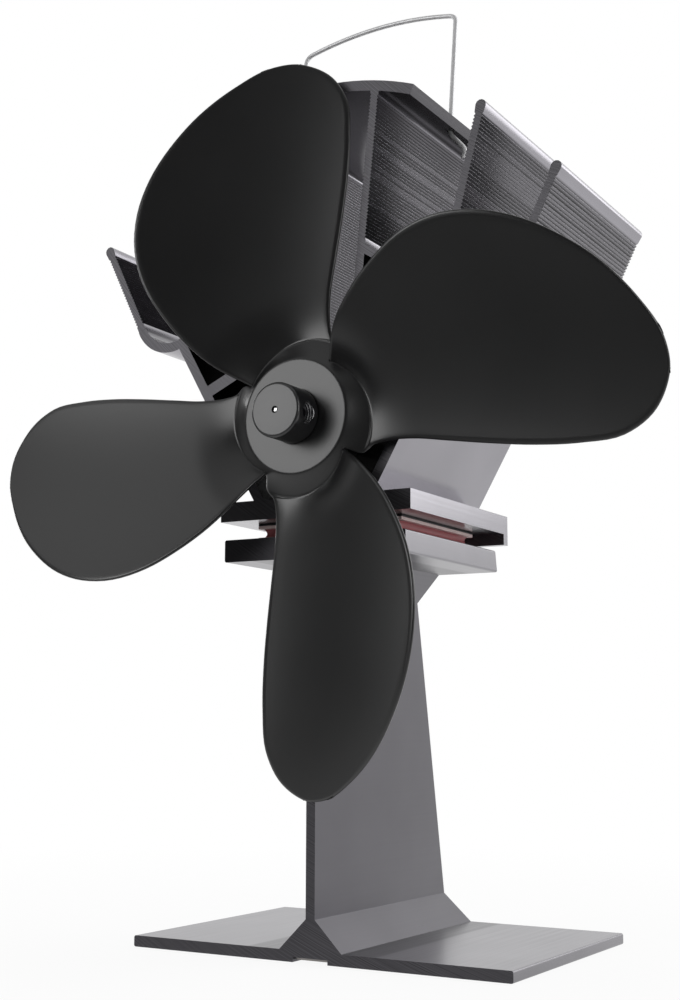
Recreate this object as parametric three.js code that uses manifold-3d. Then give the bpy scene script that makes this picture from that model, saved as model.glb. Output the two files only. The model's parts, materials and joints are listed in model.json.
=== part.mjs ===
// A heat-powered stove fan: a cut aluminium stand, a thermoelectric module, a finned heat sink that
// holds a small motor, and a four-bladed fan in front. Millimetres, +Z up, the fan faces -Y.

import * as THREE from 'three';
import { mergeVertices } from 'three/addons/utils/BufferGeometryUtils.js';
import Module from 'manifold-3d';

const wasm = await Module();
wasm.setup();

// Sizes shared by several pieces
const seatGap = 0.3;
const overrun = 2;
const weldDistance = 0.0001;
const roundSides = 32;
const smallSides = 16;
const wireSides = 8;
const curveSteps = 10;

// Sizes of the stand
const footWidth = 100;
const footDepth = 70;
const footThickness = 2.7;
const standHeight = 98.7;
const webThickness = 2.4;
const flareHeight = 7.1;
const flareSpread = 7.05;
const hotPlateWidth = 49.7;
const hotPlateThickness = 5.5;
const hotPlateDepth = 50.9;
const edgeRound = 0.5;
const grooveWidth = 9.2;
const grooveDepth = 1.1;

// Sizes of the overheating strip under the foot
const stripThickness = 0.6;
const stripLength = 58;
const stripFront = 1;
const rivetRadius = 1.5;
const rivetHeadRadius = 2.6;
const rivetHeadThickness = 0.4;
const rivetLength = 4;
const rivetInset = 6;

// Sizes of the thermoelectric module
const moduleWidth = 40;
const moduleFront = 7.6;
const ceramicThickness = 0.8;
const padThickness = 0.4;
const coupleHeight = 2.1;
const sealInset = 1.1;
const sealThickness = 1.6;
const sealDish = 0.5;
const coupleCount = 5;
const coupleWidth = 3.8;
const tabThickness = 0.5;

// Sizes of the heat sink; a rise is a height above the underside of its plate
const sinkDepth = 56;
const sinkPlateWidth = 52.3;
const sinkPlateThickness = 4.8;
const lipDepth = 2.5;
const lipDrop = 2.8;
const trunkWall = 2.5;
const trunkFootX = 14.5;
const strutThickness = 3;
const strutOuterX = 31.2;
const strutInnerRise = 42.3;
const domeThickness = 2.1;
const domeInnerRise = 64.3;
const ringWall = 2.3;
const hookCentreX = 43;
const hookCentreRise = 55.8;
const hookRadius = 9.4;
const hookThickness = 2.5;
const hookStartDegrees = -114;
const hookEndDegrees = -24;
const finThickness = 2.3;
const finTipRadius = 1.35;
const finTipSteps = 6;
const outerFinTipX = 62.9;
const outerFinTipRise = 75;
const innerFinBaseX = 33.6;
const innerFinTipX = 44.7;
const innerFinTipRise = 93.3;
const stemFootDegrees = 43.4;
const stemTopX = 17;
const roofRadius = 75;
const roofRise = 107.4;
const roofThickness = 2.6;
const roofHalfSpanDegrees = 21.4;
const ribSpacing = 0.85;
const ribDepth = 0.35;
const ribMargin = 1.6;

// Sizes of the motor
const motorRadius = 12.2;
const motorLength = 15;
const motorFront = 0.8;
const canWall = 0.8;
const motorAxisRise = 22.65;
const noseLength = 1.7;
const shaftRadius = 0.75;
const shaftGap = 0.1;
const shaftFront = -15.9;
const shaftTail = 1.4;
const bushRadius = 2.9;
const bushLength = 2.2;
const magnetThickness = 2.2;
const magnetSpanDegrees = 120;
const armatureRadius = 8;
const armatureLength = 6.5;
const poleCount = 3;
const poleFaceDegrees = 78;
const poleNeck = 2.6;
const poleCoreRadius = 3;
const poleFaceThickness = 1.4;
const commutatorRadius = 2.2;
const commutatorLength = 2.4;
const brushWidth = 1.6;
const brushHeight = 1.8;
const capThickness = 2.2;
const terminalWidth = 2.2;
const terminalThickness = 0.4;
const terminalLength = 3.4;
const terminalX = 6;

// Sizes of the fan, one stamping: a raised disc, a skirt round it and four twisted blades
const fanTurnDegrees = 10.95;
const bladeCount = 4;
const bladeTipRadius = 89.6;
const bladeThickness = 0.9;
const bladePlane = -7.35;
const bladeRootRadius = 18;
const bladeRootSlope = 0.262;
const bladeTipSlope = 0.412;
const bladeForwardLean = 0.045;
const bladeCurlRadius = 132;
const discFront = -8.5;
const discRadius = 13.1;
const discStep = 0.55;
const discStepRun = 0.95;
const slitRadius = 15.2;
const creaseRadius = 18.1;
const creaseSkew = 2.9;
const creaseBow = 1.5;
const bladeColumns = 7;
const bladeRowsPerShare = 2;

// Sizes of the hub boss and its screw
const bossRadius = 6.55;
const bossFront = -17.3;
const bossChamfer = 0.75;
const neckRadius = 4.6;
const collarRadius = 7;
const collarThickness = 1;
const screwRadius = 2;
const screwLength = 4;
const screwTurnDegrees = -5;
const screwSocketRadius = 1.15;
const screwSocketDepth = 2;
const screwSocketSides = 6;
const screwY = -12.9;

// Sizes of the wire handle
const wireRadius = 0.6;
const handleHoleX = 23.9;
const handleCornerX = 22.6;
const handleRise = 33.8;
const handleSkew = 0.4;
const handleCrown = 3.1;
const handleTailX = 28.8;
const handleTailDrop = 7.6;
const handleTailEnd = 2.6;
const handleTailTuck = 0.6;
const handleNeckDrop = 2;
const handleBend = 2;
const handleLeanDegrees = 11.3;
const crownSteps = 6;
const wireSteps = 60;

// Sizes of the leads
const leadRadius = 0.55;
const leadX = 3;
const leadSteps = 30;
const leadBackReach = 1.7;
const leadBend = 3;

// Places that several pieces share
const hotPlateTop = standHeight;
const sealBottom = hotPlateTop + padThickness + ceramicThickness;
const coldCeramicBottom = sealBottom + coupleHeight;
const coldPadBottom = coldCeramicBottom + ceramicThickness;
const sinkBottom = coldPadBottom + padThickness;
const sinkPlateTop = sinkBottom + sinkPlateThickness;
const moduleBack = moduleFront + moduleWidth;
const motorAxisZ = sinkBottom + motorAxisRise;
const roofCentreZ = sinkBottom + roofRise - roofRadius;
const ringInner = motorRadius + seatGap;
const motorBack = motorFront + motorLength;
const fullTurnDegrees = 360;
const turn = (degrees) => THREE.MathUtils.degToRad(degrees);
const at = (x, z) => new THREE.Vector2(x, z);
const sinkAt = (x, rise) => at(x, sinkBottom + rise);

// Solid tools
function toSolid(geometry) {
  const bare = geometry.clone();
  bare.deleteAttribute('normal');
  bare.deleteAttribute('uv');
  const welded = mergeVertices(bare, weldDistance);
  return new wasm.Manifold(new wasm.Mesh({
    numProp: 3,
    vertProperties: welded.attributes.position.array,
    triVerts: new Uint32Array(welded.index.array),
  }));
}

function toGeometry(solid) {
  const mesh = solid.getMesh();
  const geometry = new THREE.BufferGeometry();
  geometry.setAttribute('position', new THREE.BufferAttribute(new Float32Array(mesh.vertProperties), 3));
  geometry.setIndex(new THREE.BufferAttribute(new Uint32Array(mesh.triVerts), 1));
  geometry.computeVertexNormals();
  return geometry;
}

function join(geometries) {
  return geometries.map(toSolid).reduce((sum, next) => sum.add(next));
}

function cut(solid, geometries) {
  return geometries.map(toSolid).reduce((rest, next) => rest.subtract(next), solid);
}

// Outline across X and up Z, pushed back along Y
function pushBack(shape, front, depth, curveSegments = curveSteps) {
  const geometry = new THREE.ExtrudeGeometry(shape, { depth, bevelEnabled: false, curveSegments });
  geometry.rotateX(Math.PI / 2);
  geometry.translate(0, front + depth, 0);
  return geometry;
}

function block(x, y, z, width, depth, height) {
  const geometry = new THREE.BoxGeometry(width, depth, height);
  geometry.translate(x, y + depth / 2, z + height / 2);
  return geometry;
}

// Profile of radius and place along the axis, turned about an axis that runs along Y at the motor
function turned(profile, sides = roundSides) {
  const closed = [...profile, profile[0]];
  const geometry = new THREE.LatheGeometry(closed, sides);
  geometry.translate(0, 0, motorAxisZ);
  return geometry;
}

// A ring or a disc along Y at the motor axis
function sleeve(outer, inner, front, length, sides = roundSides) {
  const back = front + length;
  if (inner === 0) {
    const disc = new THREE.CylinderGeometry(outer, outer, length, sides);
    disc.translate(0, front + length / 2, motorAxisZ);
    return disc;
  }
  return turned([at(inner, front), at(outer, front), at(outer, back), at(inner, back)], sides);
}

// A straight wall of the heat sink between two points of its middle line
function wallShape(from, to, thickness) {
  const along = to.clone().sub(from).normalize();
  const side = at(-along.y, along.x).multiplyScalar(thickness / 2);
  return new THREE.Shape([
    from.clone().sub(side),
    to.clone().sub(side),
    to.clone().add(side),
    from.clone().add(side),
  ]);
}

// A band of a circle between two angles
function bandShape(x, z, radius, thickness, startDegrees, endDegrees) {
  const shape = new THREE.Shape();
  shape.absarc(x, z, radius + thickness / 2, turn(startDegrees), turn(endDegrees), false);
  shape.absarc(x, z, radius - thickness / 2, turn(endDegrees), turn(startDegrees), true);
  shape.closePath();
  return shape;
}

// A fin with fine ribs on each side, from its base to the middle of its round tip
function ribbedFinShape(base, tip, ribStart, tipRadius) {
  const along = tip.clone().sub(base);
  const length = along.length();
  along.normalize();
  const side = at(-along.y, along.x);
  const place = (distance, offset) => base.clone().addScaledVector(along, distance)
    .addScaledVector(side, offset);
  const half = finThickness / 2;
  const edge = (sign, start) => {
    const points = [place(0, sign * half)];
    const count = Math.floor((length - ribMargin - start) / ribSpacing);
    for (let rib = 0; rib < count; rib += 1) {
      points.push(place(start + rib * ribSpacing, sign * half));
      points.push(place(start + (rib + 1 / 2) * ribSpacing, sign * (half - ribDepth)));
    }
    points.push(place(start + count * ribSpacing, sign * half));
    return points;
  };
  const tipAngle = Math.atan2(along.y, along.x);
  const cap = [];
  for (let step = 0; step <= finTipSteps; step += 1) {
    const angle = tipAngle - Math.PI / 2 + Math.PI * step / finTipSteps;
    cap.push(tip.clone().add(at(Math.cos(angle), Math.sin(angle)).multiplyScalar(tipRadius)));
  }
  return new THREE.Shape([...edge(-1, ribStart.right), ...cap, ...edge(1, ribStart.left).reverse()]);
}

function mirrored(shape) {
  return new THREE.Shape(shape.getPoints(curveSteps).map((point) => at(-point.x, point.y)));
}

// Materials, one for each mesh
function finish(color, roughness, metalness) {
  return () => new THREE.MeshStandardMaterial({ color, roughness, metalness });
}
const anodised = finish(0x3a3a3d, 0.42, 0.55);
const bladePaint = finish(0x1b1b1c, 0.5, 0.2);
const hubPaint = finish(0x2a2a2b, 0.4, 0.3);
const steel = finish(0xb8b8ba, 0.3, 0.9);
const darkSteel = finish(0x55555a, 0.35, 0.85);
const bimetal = finish(0x9a938c, 0.4, 0.9);
const ceramic = finish(0xe2c6c2, 0.55, 0);
const sealant = finish(0xb0626a, 0.6, 0);
const graphite = finish(0x2b2b2d, 0.7, 0.1);
const telluride = finish(0x6c6e74, 0.5, 0.6);
const blackPlastic = finish(0x1a1a1b, 0.5, 0);
const magnetFerrite = finish(0x3c3a3a, 0.7, 0.1);
const copper = finish(0xb06a3c, 0.35, 0.9);
const brass = finish(0xc7a35a, 0.35, 0.9);
const bronze = finish(0xa17a4a, 0.45, 0.8);
const redSleeve = finish(0xa02522, 0.5, 0);
const blackSleeve = finish(0x161617, 0.5, 0);

const whole = new THREE.Group();
const fan = new THREE.Group();
const handle = new THREE.Group();

function addMesh(group, name, geometry, material) {
  const mesh = new THREE.Mesh(geometry, material());
  mesh.name = name;
  group.add(mesh);
  return mesh;
}

// Stand: one extrusion with a foot, a web and a top plate, its back cut on a slant
function standOutline() {
  const half = footWidth / 2;
  const webHalf = webThickness / 2;
  const rib = webHalf + flareSpread;
  const plateHalf = hotPlateWidth / 2;
  const plateBottom = standHeight - hotPlateThickness;
  const right = [
    at(grooveWidth / 2, grooveDepth),
    at(grooveWidth / 2, 0),
    at(half - edgeRound, 0),
    at(half, edgeRound),
    at(half, footThickness - edgeRound),
    at(half - edgeRound, footThickness),
    at(rib, footThickness),
    at(webHalf, footThickness + flareHeight),
    at(webHalf, plateBottom - flareHeight),
    at(rib, plateBottom),
    at(plateHalf - edgeRound, plateBottom),
    at(plateHalf, plateBottom + edgeRound),
    at(plateHalf, standHeight - edgeRound),
    at(plateHalf - edgeRound, standHeight),
  ];
  const left = right.map((point) => at(-point.x, point.y)).reverse();
  return new THREE.Shape([...right, ...left]);
}

function slantedWaste() {
  const rise = standHeight - footThickness;
  const lean = footDepth - hotPlateDepth;
  const topY = hotPlateDepth - lean * overrun / rise;
  const waste = new THREE.Shape([
    at(footDepth, footThickness),
    at(footDepth + overrun, footThickness),
    at(footDepth + overrun, standHeight + overrun),
    at(topY, standHeight + overrun),
  ]);
  const width = footWidth + 2 * overrun;
  const geometry = new THREE.ExtrudeGeometry(waste, { depth: width, bevelEnabled: false });
  geometry.rotateX(Math.PI / 2);
  geometry.rotateZ(Math.PI / 2);
  geometry.translate(-width / 2, 0, 0);
  return geometry;
}

const rivetY = stripFront + stripLength - rivetInset;
const rivetHole = new THREE.CylinderGeometry(
  rivetRadius + seatGap,
  rivetRadius + seatGap,
  rivetLength + seatGap + overrun,
  smallSides,
);
rivetHole.rotateX(Math.PI / 2);
rivetHole.translate(0, rivetY, (rivetLength + seatGap - overrun) / 2);
const stand = cut(toSolid(pushBack(standOutline(), 0, footDepth)), [slantedWaste(), rivetHole]);
addMesh(whole, 'stand', toGeometry(stand), anodised);

// Overheating strip in the groove of the foot, held by one rivet near its back end
const stripWidth = grooveWidth - 2 * seatGap;
const stripBottom = grooveDepth - stripThickness;
const strip = cut(
  toSolid(block(0, stripFront, stripBottom, stripWidth, stripLength, stripThickness)),
  [rivetHole],
);
addMesh(whole, 'bimetal_strip', toGeometry(strip), bimetal);

const rivetShank = new THREE.CylinderGeometry(rivetRadius, rivetRadius, rivetLength, smallSides);
rivetShank.rotateX(Math.PI / 2);
rivetShank.translate(0, rivetY, rivetLength / 2);
const rivetHead = new THREE.CylinderGeometry(
  rivetHeadRadius,
  rivetHeadRadius,
  rivetHeadThickness,
  smallSides,
);
rivetHead.rotateX(Math.PI / 2);
rivetHead.translate(0, rivetY, rivetHeadThickness / 2);
addMesh(whole, 'strip_rivet', toGeometry(join([rivetShank, rivetHead])), steel);

// Thermoelectric module: two ceramics with couples and a seal between them, a pad on each face
function moduleLayer(bottom, height, inset) {
  const size = moduleWidth - 2 * inset;
  return block(0, moduleFront + inset, bottom, size, size, height);
}
addMesh(whole, 'module_pad_hot', moduleLayer(hotPlateTop, padThickness, 0), graphite);
addMesh(whole, 'module_ceramic_hot',
  moduleLayer(hotPlateTop + padThickness, ceramicThickness, 0), ceramic);
addMesh(whole, 'module_ceramic_cold', moduleLayer(coldCeramicBottom, ceramicThickness, 0), ceramic);
addMesh(whole, 'module_pad_cold', moduleLayer(coldPadBottom, padThickness, 0), graphite);

// Seal with a dished outer face, swept round the four sides of the module
function sealBody() {
  const half = moduleWidth / 2 - sealInset;
  const middle = sealBottom + coupleHeight / 2;
  const levels = [
    { z: sealBottom, dish: 0 },
    { z: middle - coupleHeight / 4, dish: sealDish },
    { z: middle + coupleHeight / 4, dish: sealDish },
    { z: sealBottom + coupleHeight, dish: 0 },
  ];
  const positions = [];
  const indices = [];
  const corners = [[-1, -1], [1, -1], [1, 1], [-1, 1]];
  const centreY = moduleFront + moduleWidth / 2;
  for (const { z, dish } of levels) {
    for (const [x, y] of corners) {
      positions.push(x * (half - dish), centreY + y * (half - dish), z);
    }
  }
  for (let level = 0; level + 1 < levels.length; level += 1) {
    for (let corner = 0; corner < corners.length; corner += 1) {
      const next = (corner + 1) % corners.length;
      const a = level * corners.length + corner;
      const b = level * corners.length + next;
      indices.push(a, b, b + corners.length, a, b + corners.length, a + corners.length);
    }
  }
  const top = (levels.length - 1) * corners.length;
  indices.push(0, 2, 1, 0, 3, 2, top, top + 1, top + 2, top, top + 2, top + 3);
  const geometry = new THREE.BufferGeometry();
  geometry.setAttribute('position', new THREE.Float32BufferAttribute(positions, 3));
  geometry.setIndex(indices);
  return geometry;
}
const couplesWell = block(
  0,
  moduleFront + sealInset + sealThickness,
  sealBottom - overrun,
  moduleWidth - 2 * (sealInset + sealThickness),
  moduleWidth - 2 * (sealInset + sealThickness),
  coupleHeight + 2 * overrun,
);
addMesh(whole, 'module_seal', toGeometry(cut(toSolid(sealBody()), [couplesWell])), sealant);

// Couples: a grid of posts that stand on their copper tabs
function coupleGrid() {
  const room = moduleWidth - 2 * (sealInset + sealThickness + seatGap);
  const pitch = (room - coupleWidth) / (coupleCount - 1);
  const first = -room / 2 + coupleWidth / 2;
  const centreY = moduleFront + moduleWidth / 2;
  const posts = [block(0, centreY - room / 2, sealBottom, room, room, tabThickness)];
  for (let row = 0; row < coupleCount; row += 1) {
    for (let column = 0; column < coupleCount; column += 1) {
      const x = first + column * pitch;
      const y = centreY + first + row * pitch - coupleWidth / 2;
      posts.push(block(x, y, sealBottom, coupleWidth, coupleWidth, coupleHeight));
    }
  }
  return join(posts);
}
addMesh(whole, 'module_couples', toGeometry(coupleGrid()), telluride);

// Heat sink: one extrusion whose right half is mirrored to the left
function polar(centre, radius, degrees) {
  return at(Math.cos(turn(degrees)), Math.sin(turn(degrees))).multiplyScalar(radius).add(centre);
}

function onLineAtX(from, to, x) {
  return from.clone().lerp(to, (x - from.x) / (to.x - from.x));
}

function onLineAtZ(from, to, z) {
  return from.clone().lerp(to, (z - from.y) / (to.y - from.y));
}

function roofMiddleZ(x) {
  return roofCentreZ + Math.sqrt((roofRadius - roofThickness / 2) ** 2 - x ** 2);
}

function sinkHalf() {
  const hookCentre = sinkAt(hookCentreX, hookCentreRise);
  const trunkFoot = at(trunkFootX, sinkPlateTop - sinkPlateThickness / 4);
  const trunkTop = polar(hookCentre, hookRadius, hookStartDegrees);
  const stemFoot = polar(at(0, motorAxisZ), ringInner + ringWall / 2, stemFootDegrees);
  const stemTop = at(stemTopX, roofMiddleZ(stemTopX));
  const strutOuter = onLineAtX(trunkFoot, trunkTop, strutOuterX);
  const strutInner = onLineAtZ(stemFoot, stemTop, sinkBottom + strutInnerRise);
  const domeInner = onLineAtZ(stemFoot, stemTop, sinkBottom + domeInnerRise);
  const innerFinBase = onLineAtX(domeInner, trunkTop, innerFinBaseX);
  const outerFin = ribbedFinShape(
    polar(hookCentre, hookRadius, hookEndDegrees),
    sinkAt(outerFinTipX, outerFinTipRise),
    { right: ribMargin, left: ribMargin },
    finTipRadius,
  );
  const innerFin = ribbedFinShape(
    innerFinBase,
    sinkAt(innerFinTipX, innerFinTipRise),
    { right: domeThickness, left: domeThickness },
    finTipRadius,
  );
  const stem = ribbedFinShape(
    stemFoot,
    stemTop,
    {
      right: domeInner.y + domeThickness - stemFoot.y,
      left: strutInner.y + 2 * strutThickness - stemFoot.y,
    },
    finThickness / 2,
  );
  return [
    wallShape(trunkFoot, trunkTop, trunkWall),
    wallShape(strutOuter, strutInner, strutThickness),
    wallShape(domeInner, trunkTop, domeThickness),
    bandShape(hookCentre.x, hookCentre.y, hookRadius, hookThickness, hookStartDegrees, hookEndDegrees),
    outerFin,
    innerFin,
    stem,
  ];
}

function roofShape() {
  const topDegrees = fullTurnDegrees / 4;
  return bandShape(
    0,
    roofCentreZ,
    roofRadius - roofThickness / 2,
    roofThickness,
    topDegrees - roofHalfSpanDegrees,
    topDegrees + roofHalfSpanDegrees,
  );
}

const pivotZ = roofMiddleZ(handleHoleX);
const handleY = sinkDepth / 2;
const handleLean = turn(handleLeanDegrees);
const handleHoleRadius = wireRadius + seatGap + Math.tan(handleLean) * roofThickness / 2;

function handleHole(side) {
  const hole = new THREE.CylinderGeometry(
    handleHoleRadius,
    handleHoleRadius,
    2 * roofThickness,
    smallSides,
  );
  hole.rotateX(Math.PI / 2);
  hole.translate(side * handleHoleX, handleY, pivotZ);
  return hole;
}

function heatSink() {
  const halves = sinkHalf().flatMap((shape) => [shape, mirrored(shape)]);
  const plate = block(
    0,
    0,
    sinkBottom - lipDrop,
    sinkPlateWidth,
    sinkDepth,
    sinkPlateThickness + lipDrop,
  );
  const modulePocket = block(
    0,
    -overrun,
    sinkBottom - lipDrop - overrun,
    sinkPlateWidth + 2 * overrun,
    sinkDepth - lipDepth + overrun,
    lipDrop + overrun,
  );
  const ringOuter = ringInner + ringWall;
  const body = join([
    plate,
    sleeve(ringOuter, 0, 0, sinkDepth),
    pushBack(roofShape(), 0, sinkDepth),
    ...halves.map((shape) => pushBack(shape, 0, sinkDepth)),
  ]);
  const bore = sleeve(ringInner, 0, -overrun, sinkDepth + 2 * overrun);
  return cut(body, [modulePocket, bore, handleHole(1), handleHole(-1)]);
}
addMesh(whole, 'heat_sink', toGeometry(heatSink()), anodised);

// Motor: a drawn can, a plastic end cap, two bushes, two magnets, brushes and terminals
const canHole = bushRadius + seatGap;
const can = turned([
  at(canHole, motorFront - noseLength),
  at(canHole + canWall, motorFront - noseLength),
  at(canHole + canWall, motorFront),
  at(motorRadius, motorFront),
  at(motorRadius, motorBack),
  at(motorRadius - canWall, motorBack),
  at(motorRadius - canWall, motorFront + canWall),
  at(canHole, motorFront + canWall),
]);
addMesh(whole, 'motor_can', can, darkSteel);

const capRadius = motorRadius - canWall - seatGap;
const capFront = motorBack - capThickness;
const terminalSlots = [-1, 1].map((side) => block(
  side * terminalX,
  capFront - overrun,
  motorAxisZ - terminalWidth / 2 - seatGap,
  terminalThickness + 2 * seatGap,
  capThickness + 2 * overrun,
  terminalWidth + 2 * seatGap,
));
const cap = cut(toSolid(sleeve(capRadius, canHole, capFront, capThickness)), terminalSlots);
addMesh(whole, 'motor_end_cap', toGeometry(cap), blackPlastic);

const bushBore = shaftRadius + shaftGap;
const frontBush = sleeve(bushRadius, bushBore, motorFront - noseLength, bushLength, smallSides);
addMesh(whole, 'motor_bush_front', frontBush, bronze);
const rearBush = sleeve(bushRadius, bushBore, capFront, capThickness, smallSides);
addMesh(whole, 'motor_bush_rear', rearBush, bronze);

const magnetFront = motorFront + canWall + seatGap;
const magnetLength = capFront - seatGap - magnetFront;
const magnetMiddle = motorRadius - canWall - seatGap - magnetThickness / 2;
[['motor_magnet_right', 0], ['motor_magnet_left', 180]].forEach(([name, middle]) => {
  const shape = bandShape(
    0,
    motorAxisZ,
    magnetMiddle,
    magnetThickness,
    middle - magnetSpanDegrees / 2,
    middle + magnetSpanDegrees / 2,
  );
  addMesh(whole, name, pushBack(shape, magnetFront, magnetLength), magnetFerrite);
});

[['motor_terminal_right', 1], ['motor_terminal_left', -1]].forEach(([name, side]) => {
  const terminal = block(
    side * terminalX,
    capFront,
    motorAxisZ - terminalWidth / 2,
    terminalThickness,
    capThickness + terminalLength,
    terminalWidth,
  );
  addMesh(whole, name, terminal, brass);
});

const commutatorFront = capFront - seatGap - commutatorLength;
[['motor_brush_right', 1], ['motor_brush_left', -1]].forEach(([name, side]) => {
  const inner = commutatorRadius + seatGap;
  const outer = terminalX - terminalThickness / 2;
  const brush = block(
    side * (inner + outer) / 2,
    capFront - brushWidth,
    motorAxisZ - brushHeight / 2,
    outer - inner,
    brushWidth,
    brushHeight,
  );
  addMesh(whole, name, brush, graphite);
});

// Fan group: everything that turns with the shaft
const fanTurn = turn(fanTurnDegrees);
fan.position.set(0, 0, motorAxisZ);
fan.rotation.y = -fanTurn;
whole.add(fan);

function onAxis(geometry) {
  geometry.translate(0, 0, -motorAxisZ);
  return geometry;
}

const shaftBack = motorBack + shaftTail;
addMesh(fan, 'motor_shaft',
  onAxis(sleeve(shaftRadius, 0, shaftFront, shaftBack - shaftFront, smallSides)), steel);

function armatureShape() {
  const face = poleFaceDegrees / 2;
  const step = fullTurnDegrees / poleCount;
  const parts = [];
  for (let pole = 0; pole < poleCount; pole += 1) {
    const middle = pole * step;
    const radius = armatureRadius - poleFaceThickness / 2;
    parts.push(bandShape(0, 0, radius, poleFaceThickness, middle - face, middle + face));
    const tip = at(Math.cos(turn(middle)), Math.sin(turn(middle))).multiplyScalar(radius);
    parts.push(wallShape(at(0, 0), tip, poleNeck));
  }
  return parts;
}
const armatureFront = commutatorFront - seatGap - armatureLength;
const shaftHole = onAxis(sleeve(
  bushBore,
  0,
  armatureFront - overrun,
  armatureLength + 2 * overrun,
  smallSides,
));
const armatureParts = armatureShape().map((shape) => pushBack(shape, armatureFront, armatureLength));
armatureParts.push(onAxis(sleeve(poleCoreRadius, 0, armatureFront, armatureLength, smallSides)));
addMesh(fan, 'motor_armature', toGeometry(cut(join(armatureParts), [shaftHole])), copper);

const commutator = onAxis(sleeve(commutatorRadius, bushBore, commutatorFront, commutatorLength, smallSides));
addMesh(fan, 'motor_commutator', commutator, copper);

// The two edges of a blade past its root, as shares of the tip radius: out along it and across it
const rearEdgeShares = [
  [0.159, -0.1405],
  [0.191, -0.127],
  [0.228, -0.1275],
  [0.301, -0.142],
  [0.395, -0.174],
  [0.501, -0.211],
  [0.61, -0.2455],
  [0.724, -0.2725],
  [0.835, -0.283],
  [0.917, -0.251],
  [0.961, -0.204],
  [0.979, -0.171],
];
const frontEdgeShares = [
  [0.136, 0.1375],
  [0.174, 0.179],
  [0.2655, 0.249],
  [0.346, 0.289],
  [0.4375, 0.319],
  [0.542, 0.326],
  [0.645, 0.3035],
  [0.741, 0.2565],
  [0.829, 0.1865],
  [0.907, 0.097],
  [0.959, 0.002],
  [0.988, -0.09],
];

// How far forward or back the middle of the sheet lies: disc, step, skirt, then the pitched blade
function sheetHeight(out, across) {
  const radius = Math.hypot(out, across);
  const stepShare = THREE.MathUtils.clamp((radius - discRadius) / discStepRun, 0, 1);
  const rim = discFront + bladeThickness / 2 + discStep * stepShare;
  const slope = THREE.MathUtils.lerp(bladeRootSlope, bladeTipSlope, out / bladeTipRadius);
  const pitched = bladePlane - bladeForwardLean * (out - bladeRootRadius) - slope * across
    - across ** 2 / (2 * bladeCurlRadius);
  const side = across / radius;
  const crease = creaseRadius - creaseSkew * side - creaseBow * side ** 2;
  const skirtShare = THREE.MathUtils.clamp((radius - slitRadius) / (crease - slitRadius), 0, 1);
  return THREE.MathUtils.lerp(rim, pitched, skirtShare);
}

// One sheet of even thickness: rings round the bore, then rows out along each blade
function fanSheet() {
  const positions = [];
  const indices = [];
  const quarter = 2 * Math.PI / bladeCount;
  const half = bladeThickness / 2;
  const addPair = (radius, angle, blade) => {
    const height = sheetHeight(radius * Math.cos(angle), radius * Math.sin(angle));
    const turnedAngle = angle + blade * quarter;
    const x = radius * Math.cos(turnedAngle);
    const z = radius * Math.sin(turnedAngle);
    positions.push(x, height - half, z, x, height + half, z);
    return positions.length / 3 - 2;
  };
  const addWall = (a, b) => indices.push(a, a + 1, b, a + 1, b + 1, b);
  const addStrip = (inner, outer) => {
    for (let i = 0; i + 1 < inner.length; i += 1) {
      const [a, b, c, d] = [inner[i], outer[i], inner[i + 1], outer[i + 1]];
      indices.push(a, b, c, b, d, c, a + 1, c + 1, b + 1, b + 1, c + 1, d + 1);
    }
  };

  const slitAngle = quarter / 2;
  const rings = [neckRadius + seatGap, discRadius, discRadius + discStepRun, slitRadius].map((radius) => {
    const ring = [];
    for (let step = 0; step < bladeCount * bladeColumns; step += 1) {
      const blade = Math.floor(step / bladeColumns);
      const share = (step % bladeColumns) / bladeColumns;
      ring.push(addPair(radius, slitAngle + (share - 1) * quarter, blade));
    }
    return [...ring, ring[0]];
  });
  for (let i = 0; i + 1 < rings.length; i += 1) {
    addStrip(rings[i], rings[i + 1]);
  }
  rings[0].slice(1).forEach((pair, i) => addWall(pair, rings[0][i]));

  const edge = (shares, angle) => new THREE.SplineCurve([
    at(Math.cos(angle), Math.sin(angle)).multiplyScalar(slitRadius),
    ...shares.map(([out, across]) => at(out, across).multiplyScalar(bladeTipRadius)),
  ]);
  const rear = edge(rearEdgeShares, slitAngle - quarter);
  const front = edge(frontEdgeShares, slitAngle);
  const rowCount = bladeRowsPerShare * rearEdgeShares.length;
  const lastRing = rings[rings.length - 1];
  for (let blade = 0; blade < bladeCount; blade += 1) {
    let inner = lastRing.slice(blade * bladeColumns, (blade + 1) * bladeColumns + 1);
    for (let step = 1; step <= rowCount; step += 1) {
      const from = rear.getPoint(step / rowCount);
      const to = front.getPoint(step / rowCount);
      const fromAngle = Math.atan2(from.y, from.x);
      const toAngle = Math.atan2(to.y, to.x);
      const outer = [];
      for (let column = 0; column <= bladeColumns; column += 1) {
        const share = column / bladeColumns;
        const radius = THREE.MathUtils.lerp(from.length(), to.length(), share);
        outer.push(addPair(radius, THREE.MathUtils.lerp(fromAngle, toAngle, share), blade));
      }
      addStrip(inner, outer);
      addWall(inner[0], outer[0]);
      addWall(outer[bladeColumns], inner[bladeColumns]);
      inner = outer;
    }
    inner.slice(1).forEach((pair, i) => addWall(inner[i], pair));
  }
  const geometry = new THREE.BufferGeometry();
  geometry.setAttribute('position', new THREE.Float32BufferAttribute(positions, 3));
  geometry.setIndex(indices);
  return geometry;
}
addMesh(fan, 'fan_blades', toGeometry(toSolid(fanSheet())), bladePaint);

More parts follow.
